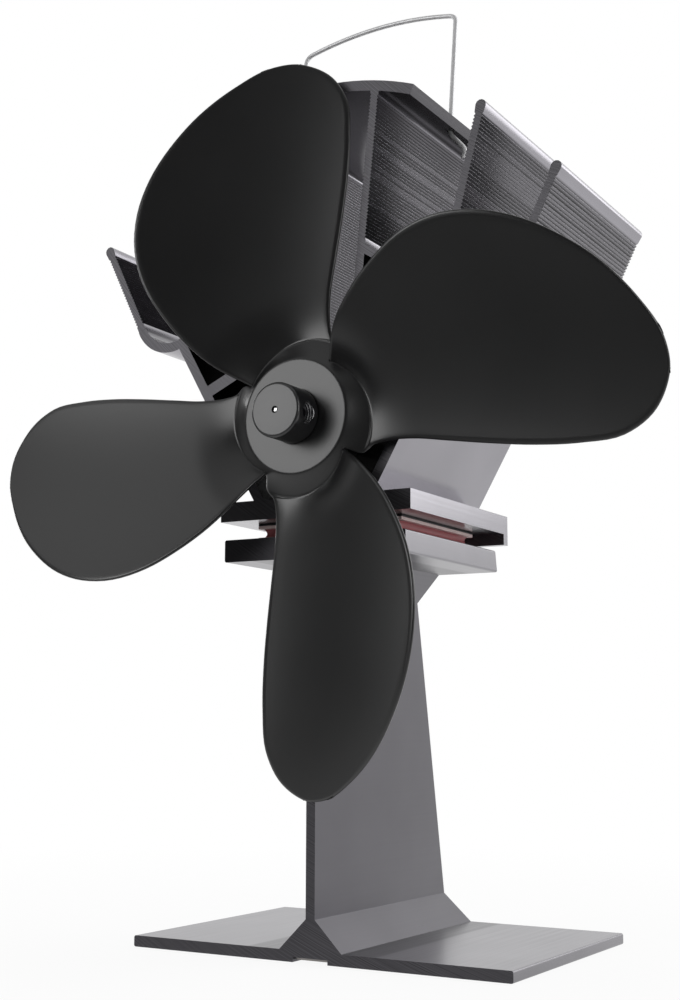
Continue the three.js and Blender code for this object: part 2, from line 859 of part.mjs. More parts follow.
// Hub boss: clamps the pressed disc between its shoulder and a collar, and takes the grub screw
const discBack = discFront + bladeThickness;
const bossBore = shaftRadius + shaftGap;
const boss = onAxis(turned([
  at(bossBore, bossFront),
  at(bossRadius - bossChamfer, bossFront),
  at(bossRadius, bossFront + bossChamfer),
  at(bossRadius, discFront - seatGap),
  at(neckRadius, discFront - seatGap),
  at(neckRadius, discBack + seatGap),
  at(collarRadius, discBack + seatGap),
  at(collarRadius, discBack + seatGap + collarThickness),
  at(bossBore, discBack + seatGap + collarThickness),
]));

function radialRod(radius, from, to, sides) {
  const rod = new THREE.CylinderGeometry(radius, radius, to - from, sides);
  rod.rotateZ(Math.PI / 2);
  rod.translate((from + to) / 2, screwY, 0);
  rod.rotateY(fanTurn - turn(screwTurnDegrees));
  return rod;
}
const screwInner = shaftRadius + seatGap;
const screwOuter = screwInner + screwLength;
const screwHole = radialRod(screwRadius + seatGap, 0, bossRadius + overrun, smallSides);
addMesh(fan, 'fan_hub', toGeometry(cut(toSolid(boss), [screwHole])), hubPaint);

const socket = radialRod(
  screwSocketRadius,
  screwOuter - screwSocketDepth,
  screwOuter + overrun,
  screwSocketSides,
);
const screw = cut(toSolid(radialRod(screwRadius, screwInner, screwOuter, smallSides)), [socket]);
addMesh(fan, 'hub_grub_screw', toGeometry(screw), steel);

// Wire handle: one bent wire whose legs pass through the roof and hook outwards beneath it
class RoundedPath extends THREE.CurvePath {
  constructor(corners, bend) {
    super();
    let last = corners[0];
    for (let i = 1; i + 1 < corners.length; i += 1) {
      const corner = corners[i];
      const reach = (other) => Math.min(bend, corner.distanceTo(other) / 2);
      const before = corner.clone().lerp(last, reach(last) / corner.distanceTo(last));
      const next = corners[i + 1];
      const after = corner.clone().lerp(next, reach(next) / corner.distanceTo(next));
      this.add(new THREE.LineCurve3(last, before));
      this.add(new THREE.QuadraticBezierCurve3(before, corner, after));
      last = after;
    }
    this.add(new THREE.LineCurve3(last, corners[corners.length - 1]));
  }
}

function roundWire(path, radius, steps) {
  const section = new THREE.Shape();
  section.absarc(0, 0, radius, 0, 2 * Math.PI, false);
  return new THREE.ExtrudeGeometry(section, { extrudePath: path, steps, curveSegments: wireSides / 2 });
}

function handlePath() {
  const leg = (side) => [
    at(side * (handleTailX - handleTailTuck), -handleTailDrop - handleTailEnd),
    at(side * handleTailX, -handleTailDrop),
    at(side * handleHoleX, -handleNeckDrop),
  ];
  const crown = [];
  for (let step = 0; step <= crownSteps; step += 1) {
    const side = 1 - 2 * step / crownSteps;
    crown.push(at(handleCornerX * side, handleRise + handleSkew * side + handleCrown * (1 - side ** 2)));
  }
  const points = [...leg(1), ...crown, ...leg(-1).reverse()];
  return new RoundedPath(points.map((point) => new THREE.Vector3(point.x, 0, point.y)), handleBend);
}
handle.position.set(0, handleY, pivotZ);
handle.rotation.x = -handleLean;
whole.add(handle);
addMesh(handle, 'carry_handle', roundWire(handlePath(), wireRadius, wireSteps), steel);

// Leads from the back of the module, under the lip, up behind the heat sink and into the motor bore
function leadPath(side) {
  const x = side * leadX;
  const start = moduleBack - sealInset + seatGap;
  const low = hotPlateTop + seatGap + leadRadius;
  const back = sinkDepth + leadBackReach;
  const end = motorBack + terminalLength + seatGap;
  return new THREE.CatmullRomCurve3([
    new THREE.Vector3(x, start, sealBottom + coupleHeight / 2),
    new THREE.Vector3(x, moduleBack + leadRadius, sealBottom + coupleHeight / 2 - leadRadius / 2),
    new THREE.Vector3(x, sinkDepth - lipDepth, low),
    new THREE.Vector3(x, sinkDepth, low),
    new THREE.Vector3(x, back, low + leadBend),
    new THREE.Vector3(x, back, (low + motorAxisZ) / 2),
    new THREE.Vector3(x, back, motorAxisZ - leadBend),
    new THREE.Vector3(x, back - leadBend, motorAxisZ),
    new THREE.Vector3(x, (back + end) / 2, motorAxisZ - leadBend),
    new THREE.Vector3(side * (leadX + terminalX) / 2, end + leadBend, motorAxisZ - leadRadius),
    new THREE.Vector3(side * terminalX, end, motorAxisZ),
  ]);
}
addMesh(whole, 'lead_red', roundWire(leadPath(1), leadRadius, leadSteps), redSleeve);
addMesh(whole, 'lead_black', roundWire(leadPath(-1), leadRadius, leadSteps), blackSleeve);

// The middle of the whole footprint stands on the origin
const box = new THREE.Box3().setFromObject(whole, true);
whole.position.set(-(box.min.x + box.max.x) / 2, -(box.min.y + box.max.y) / 2, 0);

const group = new THREE.Group();
group.add(whole);

export default group;
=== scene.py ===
import json
import math

import bmesh
import bpy
from mathutils import Euler, Matrix, Vector


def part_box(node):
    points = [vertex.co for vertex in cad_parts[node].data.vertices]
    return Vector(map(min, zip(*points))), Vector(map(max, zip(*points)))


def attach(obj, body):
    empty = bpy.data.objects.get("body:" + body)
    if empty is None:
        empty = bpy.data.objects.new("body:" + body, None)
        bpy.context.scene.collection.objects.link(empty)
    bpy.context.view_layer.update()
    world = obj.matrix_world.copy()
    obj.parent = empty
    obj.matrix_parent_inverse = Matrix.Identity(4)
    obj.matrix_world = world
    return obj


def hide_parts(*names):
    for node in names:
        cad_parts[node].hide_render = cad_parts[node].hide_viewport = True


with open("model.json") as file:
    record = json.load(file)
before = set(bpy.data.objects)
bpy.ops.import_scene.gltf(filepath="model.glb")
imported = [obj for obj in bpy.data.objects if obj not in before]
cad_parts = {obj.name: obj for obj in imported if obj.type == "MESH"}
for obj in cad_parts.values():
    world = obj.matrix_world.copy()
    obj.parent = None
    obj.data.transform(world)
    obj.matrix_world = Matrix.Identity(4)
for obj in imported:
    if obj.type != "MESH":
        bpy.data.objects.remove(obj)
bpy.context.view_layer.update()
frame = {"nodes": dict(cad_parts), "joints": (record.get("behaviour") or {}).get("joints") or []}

cad_nodes = frame["nodes"]


# Camera: it stands in front of the fan and to its right, low over the stove top, and looks up a
# little. Its place is counted from the sawn front face of the foot.
stand_low, stand_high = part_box("stand")
front_y = stand_low.y
camera_from_front = Vector((0.18047, -0.30625, 0.05402))
camera_pitch = 0.144286
camera_yaw = 0.538496
camera_roll = 0.0062656
focal_pixels = 1507.976
frame_width = 680
frame_height = 1000
optical_x = 303.304
optical_y = 505.4745

camera_data = bpy.data.cameras.new("camera")
camera_data.sensor_fit = "HORIZONTAL"
camera_data.lens = focal_pixels * camera_data.sensor_width / frame_width
camera_data.shift_x = (frame_width / 2 - optical_x) / frame_width
camera_data.shift_y = (optical_y - frame_height / 2) / frame_width
camera_data.clip_start = 0.01
camera = bpy.data.objects.new("camera", camera_data)
camera.location = Vector((0.0, front_y, 0.0)) + camera_from_front
aim = Euler((math.pi / 2 + camera_pitch, 0.0, camera_yaw), "XYZ").to_matrix()
roll = Euler((0.0, 0.0, camera_roll), "XYZ").to_matrix()
camera.rotation_euler = (aim @ roll).to_euler("XYZ")
bpy.context.collection.objects.link(camera)
bpy.context.scene.camera = camera
bpy.context.scene.view_settings.view_transform = "Standard"


# Floor: a white table, bright behind the fan and in shade before it. It is white to the camera and
# keeps a faint shadow of the foot.
table_size = 8.0
table_colour = (0.85, 0.85, 0.85, 1.0)
white_share_near = 0.9
shadow_reach = 0.32
shade_front = (0.06, 0.06, 0.06, 1.0)
shade_back = (1.0, 1.0, 1.0, 1.0)
shade_start_y = -0.35
shade_end_y = 0.15


def new_piece(name, add, **settings):
    """The mesh object that an operator adds, alone in the selection."""
    bpy.ops.object.select_all(action="DESELECT")
    add(**settings)
    piece = bpy.context.object
    piece.name = name
    return piece


def feed(tree, node, inputs):
    """Sets inputs of a node: each takes a value, or follows the output of another node."""
    for name, value in inputs.items():
        if isinstance(value, bpy.types.NodeSocket):
            tree.links.new(value, node.inputs[name])
        else:
            node.inputs[name].default_value = value


def add_node(tree, kind, inputs, **settings):
    """Adds a shader node with its settings and inputs, and gives its outputs."""
    node = tree.nodes.new("ShaderNode" + kind)
    for name, value in settings.items():
        setattr(node, name, value)
    feed(tree, node, inputs)
    return node.outputs


def ranged(tree, value, low, high, start=0.0, end=1.0, curve="LINEAR"):
    """A value that runs from low to high while another runs from start to end."""
    ends = {"From Min": start, "From Max": end, "To Min": low, "To Max": high}
    return add_node(tree, "MapRange", {"Value": value, **ends}, interpolation_type=curve)["Result"]


def mixed(tree, factor, first, second, kind="RGBA"):
    """A mix of two colours, or of two floats."""
    inputs = {"Factor": factor, "A": first, "B": second}
    return add_node(tree, "Mix", inputs, data_type=kind)["Result"]


def new_material(name, *users):
    """A material with its principled shader, put on the pieces that use it."""
    material = bpy.data.materials.new(name)
    material.use_nodes = True
    for user in users:
        user.data.materials.clear()
        user.data.materials.append(material)
    return material.node_tree, material.node_tree.nodes["Principled BSDF"]


floor = new_piece("floor", bpy.ops.mesh.primitive_plane_add, size=table_size)
tree, shader = new_material("table_white", floor)
feed(tree, shader, {"Base Color": table_colour, "Roughness": 0.95, "Specular IOR Level": 0.0})
place = add_node(tree, "TexCoord", {})["Object"]
axes = add_node(tree, "SeparateXYZ", {"Vector": place})
depth = ranged(tree, axes["Y"], 0.0, 1.0, shade_start_y, shade_end_y, "SMOOTHSTEP")
dim_glow = add_node(tree, "Emission", {"Color": mixed(tree, depth, shade_front, shade_back)})
white_glow = add_node(tree, "Emission", {})
away = add_node(tree, "VectorMath", {0: place}, operation="LENGTH")["Value"]
white_share = ranged(tree, away, white_share_near, 1.0, 0.0, shadow_reach)
rays = add_node(tree, "LightPath", {})
seen = add_node(tree, "Math", {0: rays["Is Camera Ray"], 1: white_share}, operation="MULTIPLY")["Value"]
for_camera = add_node(
    tree, "MixShader", {"Fac": seen, 1: shader.outputs["BSDF"], 2: white_glow["Emission"]}
)["Shader"]
for_gloss = add_node(
    tree, "MixShader", {"Fac": rays["Is Glossy Ray"], 1: for_camera, 2: dim_glow["Emission"]}
)["Shader"]
feed(tree, tree.nodes["Material Output"], {"Surface": for_gloss})


# Room: white to the camera. To everything else it is white behind the fan and overhead and dim in
# front, as a light tent with an open front is.
front_level = 0.05
back_level = 1.0
back_from = -0.25
back_to = 0.35
top_level = 0.40
top_from = 0.45
top_to = 0.9

world = bpy.data.worlds.new("tent")
bpy.context.scene.world = world
world.use_nodes = True
tree = world.node_tree
way = add_node(tree, "TexCoord", {})["Generated"]
axes = add_node(tree, "SeparateXYZ", {"Vector": way})
back_share = ranged(tree, axes["Y"], front_level, back_level, back_from, back_to, "SMOOTHSTEP")
top_share = ranged(tree, axes["Z"], 0.0, top_level, top_from, top_to, "SMOOTHSTEP")
level = add_node(tree, "Math", {0: back_share, 1: top_share}, operation="MAXIMUM")["Value"]
room = tree.nodes["Background"]
feed(tree, room, {"Color": level})
white = add_node(tree, "Background", {"Color": (1.0, 1.0, 1.0, 1.0)})["Background"]
rays = add_node(tree, "LightPath", {})
either = add_node(
    tree, "MixShader",
    {"Fac": rays["Is Camera Ray"], 1: room.outputs["Background"], 2: white},
)["Shader"]
feed(tree, tree.nodes["World Output"], {"Surface": either})


# Soft boxes: one in front and to the left, which the hub and the sawn faces mirror, a narrow one at
# the left for the skirt of the fan, a dim one high up, a narrow one at the right for the edges of
# the blades, and one behind for the flanks.
fan_middle = Vector((0.0, front_y, 0.126))
soft_boxes = [
    ("soft_box_left", (-0.51, -0.85, 0.22), 1.2, 0.80, 0.76, 2.6),
    ("soft_box_side", (-0.94, 0.36, 0.20), 1.2, 0.18, 0.50, 5.0),
    ("soft_box_high", (-0.66, -0.42, 0.62), 1.4, 0.60, 0.40, 0.5),
    ("soft_box_edge", (0.84, -0.46, 0.22), 1.2, 0.25, 0.60, 5.0),
    ("soft_box_back", (0.62, 0.72, 0.45), 1.4, 0.90, 0.90, 2.0),
]

for name, way, distance, width, height, radiance in soft_boxes:
    lamp = bpy.data.lights.new(name, "AREA")
    lamp.shape = "RECTANGLE"
    lamp.size = width
    lamp.size_y = height
    lamp.energy = radiance * math.pi * width * height
    box = bpy.data.objects.new(name, lamp)
    box.location = fan_middle + Vector(way).normalized() * distance
    box.rotation_euler = Vector(way).to_track_quat("Z", "Y").to_euler()
    bpy.context.collection.objects.link(box)


# Stand: one extruded aluminium section, a foot with a groove under it, a web that flares at both
# ends and a plate on top. It is sawn to length, its back on a slant, deburred and anodised black.
foot_thickness = 0.0027
web_half = 0.0012
flare_half = 0.00825
flare_height = 0.0071
hot_plate_half = 0.02485
hot_plate_thickness = 0.0055
hot_plate_depth = 0.0509
groove_half = 0.0046
groove_depth = 0.0011
corner_round = 0.0005
deburred_edge = 0.00012
rivet_hole_radius = 0.0018
rivet_hole_depth = 0.0043
hair = 0.00001


def pick(piece):
    """Leaves one piece selected and active, in object mode."""
    if bpy.context.mode != "OBJECT":
        bpy.ops.object.mode_set(mode="OBJECT")
    bpy.ops.object.select_all(action="DESELECT")
    piece.select_set(True)
    bpy.context.view_layer.objects.active = piece


def settle(piece):
    """Moves a piece's place, turn and scale into its mesh."""
    pick(piece)
    bpy.ops.object.transform_apply(location=True, rotation=True, scale=True)


def choose(piece, kind, test):
    """In edit mode, selects the vertices, edges or faces whose corners all pass the test."""
    bpy.ops.mesh.select_mode(type=kind)
    bpy.ops.mesh.select_all(action="DESELECT")
    mesh = bmesh.from_edit_mesh(piece.data)
    if kind == "VERT":
        for vertex in mesh.verts:
            vertex.select_set(test(vertex.co))
    else:
        for part in mesh.edges if kind == "EDGE" else mesh.faces:
            part.select_set(all(test(vertex.co) for vertex in part.verts))
    bmesh.update_edit_mesh(piece.data)


def slice_at(place, way):
    """In edit mode, cuts all faces along a plane and keeps both sides."""
    bpy.ops.mesh.select_all(action="SELECT")
    bpy.ops.mesh.bisect(plane_co=place, plane_no=way, threshold=hair)


def pull(way, faces=False):
    """In edit mode, extrudes the selected edges or faces along a way."""
    extrude = bpy.ops.mesh.extrude_region_move if faces else bpy.ops.mesh.extrude_edges_move
    extrude(TRANSFORM_OT_translate={"value": way})


def cut(piece, cutter):
    """Takes the cutter out of the piece and throws the cutter away."""
    pick(piece)
    tool = piece.modifiers.new("cut", "BOOLEAN")
    tool.operation = "DIFFERENCE"
    tool.solver = "EXACT"
    tool.object = cutter
    bpy.ops.object.modifier_apply(modifier=tool.name)
    bpy.data.objects.remove(cutter)


def soften(piece, width, segments=2, sharper_than=40):
    """Rounds the sharp edges of a piece and shades it smooth, with its flats kept flat."""
    pick(piece)
    bpy.ops.object.shade_smooth()
    edge = piece.modifiers.new("edge", "BEVEL")
    edge.width = width
    edge.segments = segments
    edge.limit_method = "ANGLE"
    edge.angle_limit = math.radians(sharper_than)
    bpy.ops.object.modifier_apply(modifier=edge.name)
    flats = piece.modifiers.new("flats", "WEIGHTED_NORMAL")
    bpy.ops.object.modifier_apply(modifier=flats.name)


def stands_for(piece, body, slot, *nodes_replaced):
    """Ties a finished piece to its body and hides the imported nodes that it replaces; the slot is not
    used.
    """
    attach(piece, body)
    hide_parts(*nodes_replaced)


foot_half = (stand_high.x - stand_low.x) / 2
stand_top = stand_high.z
foot_back = stand_high.y
hot_plate_bottom = stand_top - hot_plate_thickness

stand = new_piece(
    "stand_section", bpy.ops.mesh.primitive_plane_add,
    size=1.0, location=(0.0, front_y, foot_thickness / 2), rotation=(math.pi / 2, 0.0, 0.0),
)
stand.scale = (2 * foot_half, foot_thickness, 1.0)
settle(stand)
bpy.ops.object.mode_set(mode="EDIT")
for x in (-flare_half, -groove_half, groove_half, flare_half):
    slice_at((x, 0.0, 0.0), (1.0, 0.0, 0.0))
slice_at((0.0, 0.0, groove_depth), (0.0, 0.0, 1.0))
choose(stand, "FACE", lambda co: abs(co.x) < groove_half + hair and co.z < groove_depth + hair)
bpy.ops.mesh.delete(type="FACE")
choose(stand, "EDGE", lambda co: abs(co.x) < flare_half + hair and co.z > foot_thickness - hair)
rises = [
    (foot_thickness + flare_height, web_half / flare_half),
    (hot_plate_bottom - flare_height, 1.0),
    (hot_plate_bottom, flare_half / web_half),
    (stand_top, 1.0),
]
last_z = foot_thickness
for z, spread in rises:
    pull((0.0, 0.0, z - last_z))
    bpy.ops.transform.resize(value=(spread, 1.0, 1.0), center_override=(0.0, front_y, z))
    last_z = z
for side in (-1, 1):
    choose(stand, "EDGE", lambda co: side * co.x > flare_half - hair and co.z > hot_plate_bottom - hair)
    reach = side * (hot_plate_half - flare_half)
    pull((reach, 0.0, 0.0))
bpy.ops.mesh.select_all(action="SELECT")
bpy.ops.mesh.dissolve_limited(angle_limit=math.radians(1))
choose(stand, "VERT", lambda co: abs(co.x) > foot_half - hair or (
    abs(co.x) > hot_plate_half - hair and co.z > hot_plate_bottom - hair))
bpy.ops.mesh.bevel(offset=corner_round, segments=4, affect="VERTICES")
bpy.ops.mesh.select_mode(type="FACE")
bpy.ops.mesh.select_all(action="SELECT")
pull((0.0, foot_back - front_y, 0.0), faces=True)
bpy.ops.mesh.select_all(action="SELECT")
bpy.ops.mesh.normals_make_consistent(inside=False)
slant = Vector((0.0, stand_top - foot_thickness, foot_back - front_y - hot_plate_depth)).normalized()
bpy.ops.mesh.bisect(
    plane_co=(0.0, foot_back, foot_thickness), plane_no=slant, threshold=hair / 10,
    clear_outer=True, use_fill=True,
)
bpy.ops.object.mode_set(mode="OBJECT")
rivet_low, rivet_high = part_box("strip_rivet")
rivet_y = (rivet_low.y + rivet_high.y) / 2


def rivet_hole():
    """A cutter for the blind hole of the rivet."""
    return new_piece(
        "rivet_drill", bpy.ops.mesh.primitive_cylinder_add,
        vertices=32, radius=rivet_hole_radius, depth=2 * rivet_hole_depth, location=(0.0, rivet_y, 0.0),
    )


cut(stand, rivet_hole())
soften(stand, deburred_edge)
stands_for(stand, "base", "anodised_aluminium", "stand")


def new_group(name, inputs, outputs):
    """A node group with its sockets, the outputs of its first node and its last node."""
    group = bpy.data.node_groups.new(name, "ShaderNodeTree")
    for socket, kind in inputs:
        group.interface.new_socket(name=socket, in_out="INPUT", socket_type=kind)
    for socket in outputs:
        group.interface.new_socket(name=socket, in_out="OUTPUT", socket_type="NodeSocketFloat")
    return group, group.nodes.new("NodeGroupInput").outputs, group.nodes.new("NodeGroupOutput")


def drawn_lines_group():
    """Fine lines that the extrusion die draws along Y, and a slow cloud of tone from the dye."""
    group, start, end = new_group(
        "drawn_lines", [("Vector", "NodeSocketVector"), ("Fineness", "NodeSocketFloat")],
        ("Lines", "Cloud"),
    )
    stretch = add_node(
        group, "VectorMath", {0: start["Vector"], 1: line_stretch}, operation="MULTIPLY"
    )["Vector"]
    lines = add_node(
        group, "TexNoise",
        {"Vector": stretch, "Scale": start["Fineness"], "Detail": 4.0, "Roughness": 0.6},
    )["Fac"]
    cloud = add_node(
        group, "TexNoise", {"Vector": start["Vector"], "Scale": cloud_grain, "Detail": 3.0}
    )["Fac"]
    feed(group, end, {"Lines": lines, "Cloud": cloud})
    return group


def sawn_face_group():
    """A mask of the faces that the saw left, which look along Y, and the arcs of its blade there."""
    group, start, end = new_group("sawn_face", [("Vector", "NodeSocketVector")], ("Mask", "Scratches"))
    facing = add_node(group, "NewGeometry", {})["True Normal"]
    parts = add_node(group, "SeparateXYZ", {"Vector": facing})
    along = add_node(group, "Math", {0: parts["Y"]}, operation="ABSOLUTE")["Value"]
    centre = add_node(
        group, "VectorMath", {0: start["Vector"], 1: saw_centre}, operation="DISTANCE"
    )["Value"]
    grit = add_node(
        group, "TexNoise", {"W": centre, "Scale": saw_grain, "Detail": 3.0},
        noise_dimensions="1D",
    )["Fac"]
    feed(group, end, {"Mask": ranged(group, along, 0.0, 1.0, *saw_facing), "Scratches": grit})
    return group


line_stretch = (1.0, 0.01, 1.0)
die_fineness = 1500.0
cloud_grain = 40.0
cloud_tones = (0.86, 1.14)
saw_centre = (0.14, 0.0, 0.33)
saw_grain = 4200.0
saw_facing = (0.85, 0.95)
saw_contrast = (0.55, 1.45, 0.3, 0.7)
saw_gloss = (0.40, 0.62)
groove_shade_to_crest = (0.06, 1.6)
full_turn = 0.9
long_edge = 0.01
dye_relief = 0.00003
dye_bump = 0.15
streak_gloss = (-0.06, 0.08)
drawn_lines = drawn_lines_group()
sawn_face = sawn_face_group()


def clamp(value):
    """A value held between 0 and 1."""
    return max(0.0, min(1.0, value))


def mark_shade_and_wear(piece, level_at):
    """Keeps on each corner of the section a shade and wear level: 0 deep in a groove, where shade is
    painted, 1 on a crest, lighter as worn dye.
    """
    mesh = bmesh.new()
    mesh.from_mesh(piece.data)
    turns = []
    for vertex in mesh.verts:
        turn = 0.0
        for line in vertex.link_edges:
            if abs(line.other_vert(vertex).co.y - vertex.co.y) > long_edge:
                turn += line.calc_face_angle_signed(0.0)
        turns.append(level_at(vertex.co, clamp(0.5 + turn / full_turn)))
    mesh.free()
    piece.data.attributes.new("shade_and_wear", "FLOAT", "POINT").data.foreach_set("value", turns)


def scaled(tree, colour, share):
    """A colour made lighter or darker."""
    inputs = {0: colour, "Scale": share}
    return add_node(tree, "VectorMath", inputs, operation="SCALE")["Vector"]


def raised(tree, shader, height, strength, distance):
    """Gives a shader a fine relief."""
    inputs = {"Height": height, "Strength": strength, "Distance": distance}
    feed(tree, shader, {"Normal": add_node(tree, "Bump", inputs)["Normal"]})


def anodised(name, piece, base, polished, sawn, axis, second_tone_from, second_tone_to, gloss):
    """Black dye over drawn aluminium, with a second tone past a place along one axis, painted shade in
    its grooves and hollows from each corner's shade level, and dull where sawn.
    """
    tree, shader = new_material(name, piece)
    place = add_node(tree, "TexCoord", {})["Object"]
    lines = add_node(tree, "Group", {"Vector": place, "Fineness": die_fineness}, node_tree=drawn_lines)
    saw = add_node(tree, "Group", {"Vector": place}, node_tree=sawn_face)
    axes = add_node(tree, "SeparateXYZ", {"Vector": place})
    outward = add_node(tree, "Math", {0: axes[axis]}, operation="ABSOLUTE")["Value"]
    second_share = ranged(tree, outward, 0.0, 1.0, second_tone_from, second_tone_to)
    # Painted shade: the shade and wear level darkens grooves and hollows nearly to black, and lightens
    # crests.
    shade_and_wear = add_node(tree, "Attribute", {}, attribute_name="shade_and_wear")["Fac"]
    shade_and_wear_scale = ranged(tree, shade_and_wear, *groove_shade_to_crest)
    drawn = scaled(tree, mixed(tree, second_share, (*base, 1.0), (*polished, 1.0)), shade_and_wear_scale)
    scored = scaled(tree, sawn, ranged(tree, saw["Scratches"], *saw_contrast))
    tone = mixed(tree, saw["Mask"], drawn, scored)
    streaks = ranged(tree, lines["Lines"], *[gloss + change for change in streak_gloss])
    scratched = ranged(tree, saw["Scratches"], *saw_gloss)
    feed(tree, shader, {
        "Base Color": scaled(tree, tone, ranged(tree, lines["Cloud"], *cloud_tones)),
        "Metallic": 1.0,
        "Roughness": mixed(tree, saw["Mask"], streaks, scratched, "FLOAT"),
    })
    relief = mixed(tree, saw["Mask"], lines["Lines"], saw["Scratches"], "FLOAT")
    raised(tree, shader, relief, dye_bump, dye_relief)


mark_shade_and_wear(stand, lambda co, turn: 1.0)
# On the stand the second tone, past 16.5 mm out, is painted light: the outer flanks of the plate and the
# foot are painted lighter than the web, which the plate shades.
anodised(
    "anodised_stand", stand, base=(0.077, 0.0747, 0.082), polished=(0.165, 0.161, 0.172),
    sawn=(0.066, 0.064, 0.070), axis="X", second_tone_from=0.0165, second_tone_to=0.0175, gloss=0.30,
)


# Overheating strip: a flat spring of two bonded metals in the groove under the foot, which bends and
# tips the fan up when the stove is too hot. One flat-headed steel rivet holds it near the back.
strip_edge = 0.0001
rivet_shank_radius = 0.0015
rivet_head_thickness = 0.0004
metal_gloss = (0.8, 1.25)
metal_bump = 0.1
metal_relief = 0.00002


def block(name, low, high):
    """A block between two corners."""
    piece = new_piece(name, bpy.ops.mesh.primitive_cube_add, size=1.0, location=(low + high) / 2)
    piece.scale = high - low
    settle(piece)
    return piece


strip = block("strip_spring", *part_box("bimetal_strip"))
cut(strip, rivet_hole())
soften(strip, strip_edge)
stands_for(strip, "base", "bimetal", "bimetal_strip")

rivet_head_radius = (rivet_high.x - rivet_low.x) / 2
rivet = new_piece(
    "rivet_turned", bpy.ops.mesh.primitive_cylinder_add,
    vertices=48, radius=rivet_head_radius, depth=rivet_head_thickness,
    location=(0.0, rivet_y, rivet_low.z + rivet_head_thickness / 2),
)
settle(rivet)
bpy.ops.object.mode_set(mode="EDIT")
choose(rivet, "FACE", lambda co: co.z > rivet_low.z + rivet_head_thickness - hair)
bpy.ops.mesh.inset(thickness=rivet_head_radius - rivet_shank_radius)
shank_length = rivet_high.z - rivet_low.z - rivet_head_thickness
pull((0.0, 0.0, shank_length), faces=True)
bpy.ops.object.mode_set(mode="OBJECT")
soften(rivet, strip_edge)
stands_for(rivet, "base", "steel", "strip_rivet")


def grained(name, pieces, dark, bright, glosses, grain, detail):
    """A material with one noise in its tone and its gloss, for the finishes below."""
    tree, shader = new_material(name, *pieces)
    place = add_node(tree, "TexCoord", {})["Object"]
    noise = add_node(tree, "TexNoise", {"Vector": place, "Scale": grain, "Detail": detail})["Fac"]
    feed(tree, shader, {
        "Base Color": mixed(tree, noise, (*dark, 1.0), (*bright, 1.0)),
        "Roughness": ranged(tree, noise, *glosses),
    })
    return tree, shader, place, noise


def brushed_metal(name, dark, bright, roughness, grain, *pieces):
    """Bare metal with fine grain in its tone and gloss."""
    glosses = [roughness * share for share in metal_gloss]
    tree, shader, place, noise = grained(name, pieces, dark, bright, glosses, grain, detail=4.0)
    feed(tree, shader, {"Metallic": 1.0})
    raised(tree, shader, noise, metal_bump, metal_relief)
    return shader


brushed_metal("strip_metal", (0.16, 0.15, 0.145), (0.26, 0.25, 0.24), 0.36, 900.0, strip)
brushed_metal("rivet_steel", (0.50, 0.50, 0.51), (0.66, 0.66, 0.67), 0.28, 1400.0, rivet)


# Thermoelectric module: two white ceramic plates with a grid of small posts between them and a red
# silicone seal drawn in round their edge. A thin graphite pad lies on each face.
slab_edge = 0.00012
seal_dish = 0.0005
seal_wall = 0.0016
seal_levels = 7
mottle_gloss = 0.06
mottle_relief = 0.00005


def blend(start, end, share):
    """The value a share of the way between two others."""
    return start + (end - start) * share


def smooth(piece, sharper_than):
    """Shades a piece smooth, apart from its edges sharper than an angle in degrees."""
    pick(piece)
    bpy.ops.object.shade_smooth_by_angle(angle=math.radians(sharper_than))


def slab(node, finish):
    """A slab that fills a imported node's box, its edges rounded a little."""
    piece = block(node + "_slab", *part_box(node))
    soften(piece, slab_edge)
    stands_for(piece, "base", finish, node)
    return piece


ceramics = [slab("module_ceramic_" + side, "ceramic") for side in ("hot", "cold")]
pads = [slab("module_pad_" + side, "thermal_pad") for side in ("hot", "cold")]

seal_low, seal_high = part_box("module_seal")
seal_middle = (seal_low + seal_high) / 2
seal_half_height = (seal_high.z - seal_low.z) / 2
seal_half_width = (seal_high.x - seal_low.x) / 2
seal = block("seal_bead", seal_low, seal_high)
bpy.ops.object.mode_set(mode="EDIT")
choose(seal, "FACE", lambda co: co.z > seal_high.z - hair)
bpy.ops.mesh.delete(type="FACE")
choose(seal, "FACE", lambda co: co.z < seal_low.z + hair)
bpy.ops.mesh.delete(type="FACE")
level_heights = [blend(seal_low.z, seal_high.z, step / seal_levels) for step in range(1, seal_levels)]
for z in level_heights:
    slice_at((0.0, 0.0, z), (0.0, 0.0, 1.0))
for z in level_heights:
    share = (z - seal_middle.z) / seal_half_height
    drawn_in = 1.0 - seal_dish * (1.0 - share ** 2) / seal_half_width
    choose(seal, "VERT", lambda co: abs(co.z - z) < hair)
    bpy.ops.transform.resize(value=(drawn_in, drawn_in, 1.0), center_override=seal_middle)
bpy.ops.object.mode_set(mode="OBJECT")
wall = seal.modifiers.new("wall", "SOLIDIFY")
wall.thickness = seal_wall
wall.offset = -1.0
pick(seal)
bpy.ops.object.modifier_apply(modifier=wall.name)
smooth(seal, sharper_than=40)
stands_for(seal, "base", "sealant", "module_seal")


def mottled(name, dark, bright, roughness, grain, bump, *pieces):
    """A plain solid such as a plastic, a ceramic or a rubber, with a faint mottle and skin."""
    glosses = (roughness - mottle_gloss, roughness + mottle_gloss)
    tree, shader, place, noise = grained(name, pieces, dark, bright, glosses, grain, detail=3.0)
    raised(tree, shader, noise, bump, mottle_relief)


mottled("alumina", (0.80, 0.60, 0.58), (0.90, 0.74, 0.72), 0.45, 500.0, 0.15, *ceramics)
mottled("silicone", (0.36, 0.09, 0.10), (0.46, 0.14, 0.15), 0.45, 350.0, 0.4, seal)
mottled("graphite", (0.018, 0.018, 0.019), (0.035, 0.035, 0.037), 0.55, 800.0, 0.2, *pads)
mottled(
    "telluride", (0.14, 0.14, 0.15), (0.24, 0.24, 0.25), 0.4, 700.0, 0.2,
    cad_nodes["module_couples"],
)


